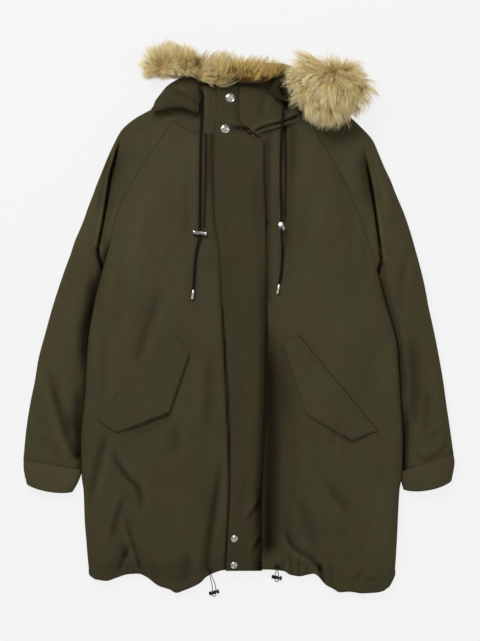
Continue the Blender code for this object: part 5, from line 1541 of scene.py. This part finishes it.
def meshFrom(line, name):
    # the result of a node tree as a plain mesh object, in place of the line that it ran on
    mesh = resultOf(line)
    mesh.name = name
    obj = bpy.data.objects.new(name, mesh)
    scene.collection.objects.link(obj)
    bpy.data.objects.remove(line, do_unlink=True)
    return obj


# fur
# Fur sections: the reach of the hair. The skin that it grows from is smaller, inside them.
furRows = {
    "fur_right": columns("x y0 y1 z0 z1", (
        (-195, 462, 500, 22, 40), (-188, 457, 506, 16, 54), (-174, 455, 512, 14, 64),
        (-156, 456, 526, 12, 72),
        (-138, 459, 529, 12, 76), (-122, 461, 529, 28, 76), (-100, 463, 526, 28, 73), (-88, 462, 520, 28, 68),
        (-78, 458, 512, 28, 60))),
    "fur_middle": columns("x y0 y1 z0 z1", (
        (-77, 455, 508, 28, 56), (-64, 449, 514, 28, 64), (-40, 448, 512, 28, 66), (-12, 448, 507, 28, 66),
        (16, 448, 503, 28, 65), (40, 448, 499, 28, 63), (56, 456, 496, 28, 58), (84, 478, 493, 29, 50))),
    "fur_left": columns("x y0 y1 z0 z1", (
        (80, 436, 476, 52, 66), (90, 414, 488, 50, 80), (105, 394, 493, 49, 90), (122, 378, 494, 38, 97),
        (140, 362, 498, 37, 101), (158, 349, 507, 37, 103), (174, 347, 507, 37, 103),
        (190, 356, 506, 37, 101),
        (206, 368, 506, 37, 97), (222, 382, 496, 37, 90), (236, 400, 482, 38, 82), (248, 414, 462, 44, 72),
        (258, 428, 446, 52, 64))),
}
# Where the skin lies in each section: its low and high edge as shares of the section's depth, and
# its thickness as a share of the section's; then the ends' insets in mm, how full each end stays,
# and which ends (-2 the first, -1 the last) meet the next piece, so that hair crosses there.
furSkin = {
    "fur_right": {
        "y": ((0.20, 0.62), (0.06, 0.52)), "z": 0.62, "ends": (26, 0), "taper": (0.0, 1.0), "joined": (-1,),
        "count": 5600, "clump": 10.0,
    },
    "fur_middle": {
        "y": ((0.06, 0.52), (0.04, 0.42)), "z": 0.66, "ends": (0, 4), "taper": (1.0, 0.45),
        "joined": (-2, -1), "count": 5400, "clump": 8.0,
    },
    "fur_left": {
        "y": ((0.25, 0.78), (0.25, 0.78)), "z": 0.66, "ends": (24, 30), "taper": (0.0, 0.0), "joined": (),
        "count": 8000, "clump": 12.5,
    },
}
fur = {
    "seed": 11, "pull": 0.48, "stray": 0.19, "shortest": 13.0, "longest": 50.0, "thickness": 0.017,
    "bow": 0.20, "segments": 3, "lift": 0.55, "acrossJoint": 34.0,
}
furRamp = ((0.0, "#6E5328"), (0.10, "#AA833A"), (0.28, "#DABB6C"), (0.60, "#E8D28C"), (1.0, "#F5E6B8"))


def furGrid(name, corners, skin=None):
    # the reach of the hair, or with the skin's facts, the skin that it grows from
    rows = furRows[name]
    at = np.linspace(0, len(rows["x"]) - 1, 5 * (len(rows["x"]) - 1) + 1)
    x, y0, y1, z0, z1 = (roundThrough(rows[k], at) for k in ("x", "y0", "y1", "z0", "z1"))
    sizes = np.sin(np.pi / 2 * np.clip(np.minimum(at + 0.12, at[-1] - at + 0.12) / 0.9, 0, 1)) ** 0.7
    if skin:
        span = x[-1] - x[0]
        x = x[0] + skin["ends"][0] + (x - x[0]) * (span - sum(skin["ends"])) / span
        deep, tall = y1 - y0, z1 - z0
        share = (at / at[-1])[:, None]
        near, far = (np.array(skin["y"][0]) * (1 - share) + np.array(skin["y"][1]) * share).T
        y0, y1 = y0 + near * deep, y0 + far * deep
        middle = z0 + 0.46 * tall
        z0, z1 = middle - skin["z"] * tall / 2, middle + skin["z"] * tall / 2
        least = np.where(at < at[-1] / 2, *skin["taper"])
        sizes = least + (1 - least) * sizes
    return ringGrid(x, y0, y1, z0, z1, sizes, *roundedRing(corners, 0.85))


def tubeFaces(rings, corners):
    # the skin from ring to ring, then the first and the last ring as caps
    caps = [list(range(corners)), list(range((rings - 1) * corners, rings * corners))]
    return gridFaces(rings, corners, True).tolist() + caps


def furFlow(name, x, y):
    # the way that the hair is combed at each point
    flow = np.zeros((len(x), 3))
    if name == "fur_right":
        # a parting runs along it: above, the hair stands up, and below, it sweeps down and across
        leftwards = smoothRun((-140 - x) / 30)
        above = smoothRun((y - 478) / 16)
        flow += np.outer(leftwards, (-1.1, 0.0, 0.0)) + np.outer(leftwards * (2 * above - 1), (0, 0.35, 0))
        flow += np.outer((1 - leftwards) * above, (-0.1, 1.0, 0.1))
        flow += np.outer((1 - leftwards) * (1 - above), (0.85, -0.35, 0.1))
    elif name == "fur_middle":
        start = smoothRun((-36 - x) / 26) * smoothRun((484 - y) / 16)
        flow += np.outer(1 - start, (0.05, 1.0, 0.1)) + np.outer(start, (0.9, -0.2, 0.1))
        flow[:, 0] += 0.3 * np.sin(x / 13.0) + 0.9 * smoothRun((x - 44) / 24)
    else:
        out = np.stack([x - 172, y - 466, np.zeros(len(x))], axis=1)
        size = np.linalg.norm(out, axis=1)
        flow += out / np.maximum(size, 62)[:, None]
        flow += np.outer(smoothRun((476 - y) / 60), (-0.1, -0.6, 0.0))
        flow += np.outer(bell(size, 40), (-0.35, -0.3, 0.0))
        flow[:, 0] += 0.25 * np.sin(y / 9.0 + x / 14.0)
    return flow


def storeField(tree, geometry, name, value):
    given = {"Geometry": geometry, "Name": name, "Value": value}
    node = addNode(tree, "GeometryNodeStoreNamedAttribute", given, data_type="FLOAT", domain="POINT")
    return node.outputs["Geometry"]


def randomField(tree, seed, kind, low, high):
    given = {"Min": low, "Max": high, "Seed": seed}
    node = addNode(tree, "FunctionNodeRandomValue", given, data_type=kind)
    return next(socket for socket in node.outputs if socket.enabled)


def strandShape(tree, given):
    # one bowed strand of unit length that narrows towards its tip, with three sides
    bow = addNode(tree, "ShaderNodeCombineXYZ", {"X": addMath(tree, "MULTIPLY", given["Bow"], 2.0), "Z": 0.5})
    bend = addNode(tree, "GeometryNodeCurveQuadraticBezier", {
        "Start": (0, 0, 0), "Middle": bow.outputs[0], "End": (0, 0, 1), "Resolution": given["Segments"]})
    along = addNode(tree, "GeometryNodeSplineParameter").outputs["Factor"]
    marked = storeField(tree, bend.outputs["Curve"], "along", along)
    fromTip = addMath(tree, "POWER", addMath(tree, "SUBTRACT", 1.0, along), 0.8)
    taper = addMath(tree, "ADD", addMath(tree, "MULTIPLY", fromTip, 0.9), 0.1)
    narrow = addNode(tree, "GeometryNodeSetCurveRadius", {"Curve": marked, "Radius": taper})
    section = addNode(tree, "GeometryNodeCurvePrimitiveCircle",
                      {"Resolution": 3, "Radius": given["Strand Thickness"]})
    strand = addNode(tree, "GeometryNodeCurveToMesh", {
        "Curve": narrow.outputs["Curve"], "Profile Curve": section.outputs["Curve"], "Fill Caps": False})
    if "Scale" in strand.inputs:
        setInputs(tree, strand, {"Scale": addNode(tree, "GeometryNodeInputRadius").outputs[0]})
    return strand.outputs["Mesh"]


def furTree():
    tree, given, result = newTree("furGrowth", (
        ("Geometry", "Geometry"), ("Density", "Float"), ("Seed", "Int"), ("Clump Size", "Float"),
        ("Clump Pull", "Float"), ("Stray", "Float"), ("Strand Thickness", "Float"), ("Bow", "Float"),
        ("Segments", "Int"), ("Fur", "Material")))
    density = addMath(tree, "MULTIPLY", namedField(tree, "thickly", "FLOAT"), given["Density"])
    scatter = addNode(tree, "GeometryNodeDistributePointsOnFaces", {
        "Mesh": given["Geometry"], "Density": density, "Seed": given["Seed"]}, distribute_method="RANDOM")
    # each hair leans as it is combed, and all the hairs of a cell lean the same way and draw together
    place = addNode(tree, "GeometryNodeInputPosition").outputs[0]
    closeness = addMath(tree, "DIVIDE", 1.0, given["Clump Size"])
    cell = addNode(tree, "ShaderNodeTexVoronoi",
                   {"Vector": place, "Scale": closeness, "Randomness": 1.0}, feature="F1").outputs
    chance = addVector(tree, "SUBTRACT", cell["Color"], (0.5, 0.5, 0.5))
    comb = namedField(tree, "comb", "FLOAT_VECTOR")
    lean = addVector(tree, "ADD", comb, addVector(tree, "SCALE", chance, scale=0.7))
    lean = addVector(tree, "NORMALIZE", lean)
    parts = addNode(tree, "ShaderNodeSeparateXYZ", {0: cell["Color"]}).outputs
    share = addMath(tree, "ADD", addMath(tree, "MULTIPLY", parts[0], 0.55), 0.60)
    length = addMath(tree, "MULTIPLY", namedField(tree, "hairLength", "FLOAT"), share)
    length = addMath(tree, "MULTIPLY", length, randomField(tree, 3, "FLOAT", 0.78, 1.10))
    sway = randomField(tree, 5, "FLOAT_VECTOR", (-1, -1, -1), (1, 1, 1))
    shift = addVector(tree, "SCALE", lean, scale=length)
    stray = addVector(tree, "SCALE", sway, scale=addMath(tree, "MULTIPLY", length, given["Stray"]))
    free = addVector(tree, "ADD", addVector(tree, "ADD", place, shift), stray)
    locked = addVector(tree, "ADD", cell["Position"], shift)
    pull = addVector(tree, "SCALE", addVector(tree, "SUBTRACT", locked, free), scale=given["Clump Pull"])
    chord = addVector(tree, "SUBTRACT", addVector(tree, "ADD", free, pull), place)
    bowed = addVector(tree, "ADD", scatter.outputs["Normal"], addVector(tree, "SCALE", sway, scale=0.7))
    facing = addNode(tree, "FunctionNodeAxesToRotation",
                     {"Primary Axis": chord, "Secondary Axis": bowed}, primary_axis="Z", secondary_axis="X")
    tint = addMath(tree, "MULTIPLY", randomField(tree, 9, "FLOAT", 0.0, 1.0), 0.6)
    tint = addMath(tree, "ADD", tint, addMath(tree, "MULTIPLY", parts[1], 0.4))
    size = addVector(tree, "LENGTH", chord)
    grow = addNode(tree, "GeometryNodeInstanceOnPoints", {
        "Points": storeField(tree, scatter.outputs["Points"], "tint", tint),
        "Instance": strandShape(tree, given), "Rotation": facing.outputs["Rotation"],
        "Scale": addNode(tree, "ShaderNodeCombineXYZ", {0: size, 1: size, 2: size}).outputs[0]})
    real = addNode(tree, "GeometryNodeRealizeInstances", {"Geometry": grow.outputs["Instances"]})
    both = addNode(tree, "GeometryNodeJoinGeometry", {"Geometry": given["Geometry"]})
    setInputs(tree, both, {"Geometry": real.outputs["Geometry"]})
    paint = addNode(tree, "GeometryNodeSetMaterial",
                    {"Geometry": both.outputs["Geometry"], "Material": given["Fur"]})
    setInputs(tree, result, {"Geometry": paint.outputs["Geometry"]})
    return tree


def furFinish():
    # the colour runs from the root to the tip, and each spot and hair shifts it, as do the brown roots and
    # the painted light
    material, tree, shader = freshMaterial("blondFurPile")
    along, tint, brownAndPaintedLight = (addNode(tree, "ShaderNodeAttribute", attribute_name=name).outputs["Fac"]
                          for name in ("along", "tint", "brownAndPaintedLight"))
    place = addNode(tree, "ShaderNodeTexCoord").outputs["Object"]
    cloud = addNoise(tree, place, 45.0, 2.0)["Fac"]
    early = addNode(tree, "ShaderNodeMapRange", {
        "Value": cloud, "From Min": 0.3, "From Max": 0.7, "To Min": -0.20, "To Max": 0.14})
    spread = addNode(tree, "ShaderNodeMapRange", {"Value": tint, "To Min": -0.16, "To Max": 0.16})
    shade = addMath(tree, "ADD", along, early.outputs["Result"])
    shade = addMath(tree, "ADD", shade, spread.outputs["Result"])
    # browner at the brown roots, and paler where light is painted on
    shade = addMath(tree, "ADD", shade, addMath(tree, "MULTIPLY", brownAndPaintedLight, -0.42))
    setInputs(tree, shader, {
        "Base Color": addRamp(tree, shade, furRamp), "Roughness": 0.55,
        "Specular IOR Level": 0.25, "Sheen Weight": 0.05,
    })
    return material


def hairLengths(name, points, comb):
    # each hair reaches the fur's outline, or crosses the joint with the next piece
    outline = furGrid(name, 40)
    faces = tubeFaces(*outline.shape[:2])
    reach = BVHTree.FromPolygons(outline.reshape(-1, 3).tolist(), faces)
    lengths = []
    for point, way in zip(points, comb):
        _, _, face, length = reach.ray_cast(Vector(point), Vector(way))
        if face is not None and face - len(faces) in furSkin[name]["joined"]:
            length = fur["acrossJoint"]
        lengths.append(np.clip(length or fur["shortest"], fur["shortest"], fur["longest"]))
    return np.array(lengths) * mm


def rootBrownAndPaintedLight(name, x, y):
    # how brown the hair is: above nought it is browner, where the brown roots show; below nought it is paler,
    # light painted on against the shade that the strands cast on one another
    if name == "fur_left":
        return np.full(len(x), -0.5)
    if name == "fur_right":
        return 1.9 * np.exp(-((x + 80) / 16) ** 2 - ((y - 484) / 10) ** 2) - 0.62
    startBand = smoothRun((x + 50) / 22)
    return 1.3 * smoothRun((y - 480) / -16) * startBand - 0.42 - 0.3 * (1 - startBand)


def furPiece(name, material):
    skin = furSkin[name]
    grid = furGrid(name, 30, skin)
    points = grid.reshape(-1, 3)
    obj = linkMesh(name, points, tubeFaces(*grid.shape[:2]))
    faceOutwards(obj)
    mesh = obj.data
    mesh.shade_smooth()
    normals = np.array([tuple(v.normal) for v in mesh.vertices])
    x, y, _ = points.T
    comb = furFlow(name, x, y) + fur["lift"] * normals
    comb /= np.maximum(np.linalg.norm(comb, axis=1), 1e-6)[:, None]
    thick = np.where(normals[:, 2] < -0.3, 0.25, 1.0)
    storeValues(mesh, "comb", comb)
    storeValues(mesh, "hairLength", hairLengths(name, points, comb))
    storeValues(mesh, "thickly", thick)
    storeValues(mesh, "brownAndPaintedLight", rootBrownAndPaintedLight(name, x, y))
    mesh.materials.append(material)
    area = sum(p.area * thick[list(p.vertices)].mean() for p in mesh.polygons)
    addTree(obj, "fur", furGrowth, {
        "Density": skin["count"] / area, "Seed": fur["seed"], "Clump Size": skin["clump"] * mm,
        "Clump Pull": fur["pull"], "Stray": fur["stray"], "Strand Thickness": fur["thickness"],
        "Bow": fur["bow"], "Segments": fur["segments"], "Fur": material,
    })
    obj.update_tag()
    settle(obj)
    print(name, len(obj.data.polygons), "faces")


furGrowth = furTree()
blondFur = furFinish()
for furName in furRows:
    furPiece(furName, blondFur)


# seams
def sideRun(side, top, bottom, inset):
    y = np.arange(top, bottom, -6.0)
    return np.stack([sideX(side, y) - side * inset, y], axis=1)


def placketRun(side, top, bottom, inset):
    y = np.arange(top, bottom, -6.0)
    return np.stack([placketEdge(side, y) - side * inset, y], axis=1)


def hemRun(x0, x1, above):
    x = np.arange(x0, x1, 6.0)
    return np.stack([x, through(hemLine["x"], hemLine["y"], x) + above], axis=1)


def insetLine(corners, inset):
    # the outline moved inwards by the same distance all along
    found = []
    for before, here, after in zip(corners[:-2], corners[1:-1], corners[2:]):
        a, b = Vector(here - before).normalized(), Vector(after - here).normalized()
        way = (Vector((-a.y, a.x)) + Vector((-b.y, b.x))).normalized()
        found.append(Vector(here) + way * inset / max(0.4, way.dot(Vector((-a.y, a.x)))))
    return found


def frontSeams(side):
    low = armpit[side][1] + 60
    edges = (-284, placketEdge(right, -470) - 6) if side == right else (placketEdge(left, -470) + 8, 288)
    return [sideRun(side, 372, low, 2.6), sideRun(side, 372, low, 8.6), hemRun(*edges, front["channel"])]


def cuffSeams(side):
    # two rows below the cuff's seam, and one above its end
    start, end = cuffEnds(side)
    width = np.linalg.norm(end - start)
    across = (end - start) / width
    down = np.array((across[1], -across[0])) * side
    first = start + across * np.linspace(8, width - 8, 22)[:, None] + down * 3.2
    near, far = (np.array(cuff[side][1][k:k + 2], float) for k in (0, 2))
    last = near + (far - near) * np.linspace(0.06, 0.94, 22)[:, None] - down * 7.0
    return [first, first + down * 5.5, last]


def flapSeams(side):
    # two rows below the flap's top, and one inside the rest of its outline
    corners = flapCorners(side)[::-1] if side == right else flapCorners(side)
    start, end = np.array(flap[side]["top"], float)
    reach = np.linalg.norm(end - start)
    along = (end - start) / reach
    inwards = np.array((along[1], -along[0])) * side
    if (corners.mean(axis=0) - start) @ inwards < 0:
        inwards = -inwards
    steps = np.outer(np.linspace(5, reach - 5, 30), along)
    lines = [start + steps + inwards * gap for gap in (2.6, 8.8)]
    edge = insetLine(np.vstack([corners[-1:], corners, corners[:1]]), flap["edgeSeam"])
    outline = [np.array(p) for p in edge if polygonGap(np.array(p[0]), np.array(p[1]), corners) > 3.5]
    for a, b in zip(outline[:-1], outline[1:]):
        slanting = abs((b - a) @ inwards) > 0.2 * np.linalg.norm(b - a)
        if slanting or (a - start) @ inwards > 12:
            lines.append(np.linspace(a, b, 12))
    return lines


def collarSeams(side):
    seam = frontGrids[side][0]
    out = np.abs(seam[:, 0])
    keep = (out > abs(placketEdge(side, 360)) + 4) & (out < 124)
    return [seam[keep][::6, :2] + (0, 4.0)]


def seamLines():
    # the sewn lines of each piece that shows
    lines = {}
    for side in (right, left):
        hand = sideName[side]
        lines[f"front_{hand}"] = frontSeams(side)
        lines[f"cuff_{hand}"] = cuffSeams(side)
        lines[f"pocket_flap_{hand}"] = flapSeams(side)
        lines[f"collar_{hand}"] = collarSeams(side)
    tops = ((right, 440), (left, 338))
    lines["placket"] = [placketRun(side, top, -470, inset) for inset in (7.0, 1.8) for side, top in tops]
    return lines


def backSeamLines():
    lines = [sideRun(side, 340.0, armpit[side][1], 12) for side in (right, left)]
    lines.append(hemRun(-268.0, 270.0, 26))
    lines.append(np.array([(x, 336 - 6 * math.cos(x / 60)) for x in np.arange(-110.0, 112.0, 6.0)]))
    return lines


def makeStitches():
    thread = threadFinish()
    for name, lines in seamLines().items():
        stitchPiece(name, lines, thread)
    stitchPiece("back_panel", backSeamLines(), thread, below=True)
    print("stitches", sum(len(obj.data.polygons) for obj in sewing.values()), "faces")


makeStitches()


# what each piece stands for
slotOf = {
    "shell_cloth": ("front_", "back_panel", "sleeve_", "cuff_", "collar_", "placket", "pocket_flap_",
                    "hood_bag", "hood_side_"),
    "fur": ("fur_",), "cord": ("hood_cord_", "hem_cord_"),
    "silver_metal": ("snap_", "hood_lock_", "aglet_"), "dark_metal": ("hem_lock_", "hem_eyelet_"),
}


def declarePieces():
    for name, obj in made.items():
        if not name.startswith(slotOf["cord"]):
            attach(obj, "root")
        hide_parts(name)
    for obj in sewing.values():
        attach(obj, "root")
    for name, (width, length, area) in cutOf.items():
        size = f"{round(width * 1000)} x {round(length * 1000)} mm, area {round(area * 1e4)} cm2"
        print("cut", name, size)


declarePieces()
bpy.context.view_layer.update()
everything = list(made.values()) + list(sewing.values())
print("triangles", sum(len(face.vertices) - 2 for obj in everything for face in obj.data.polygons))
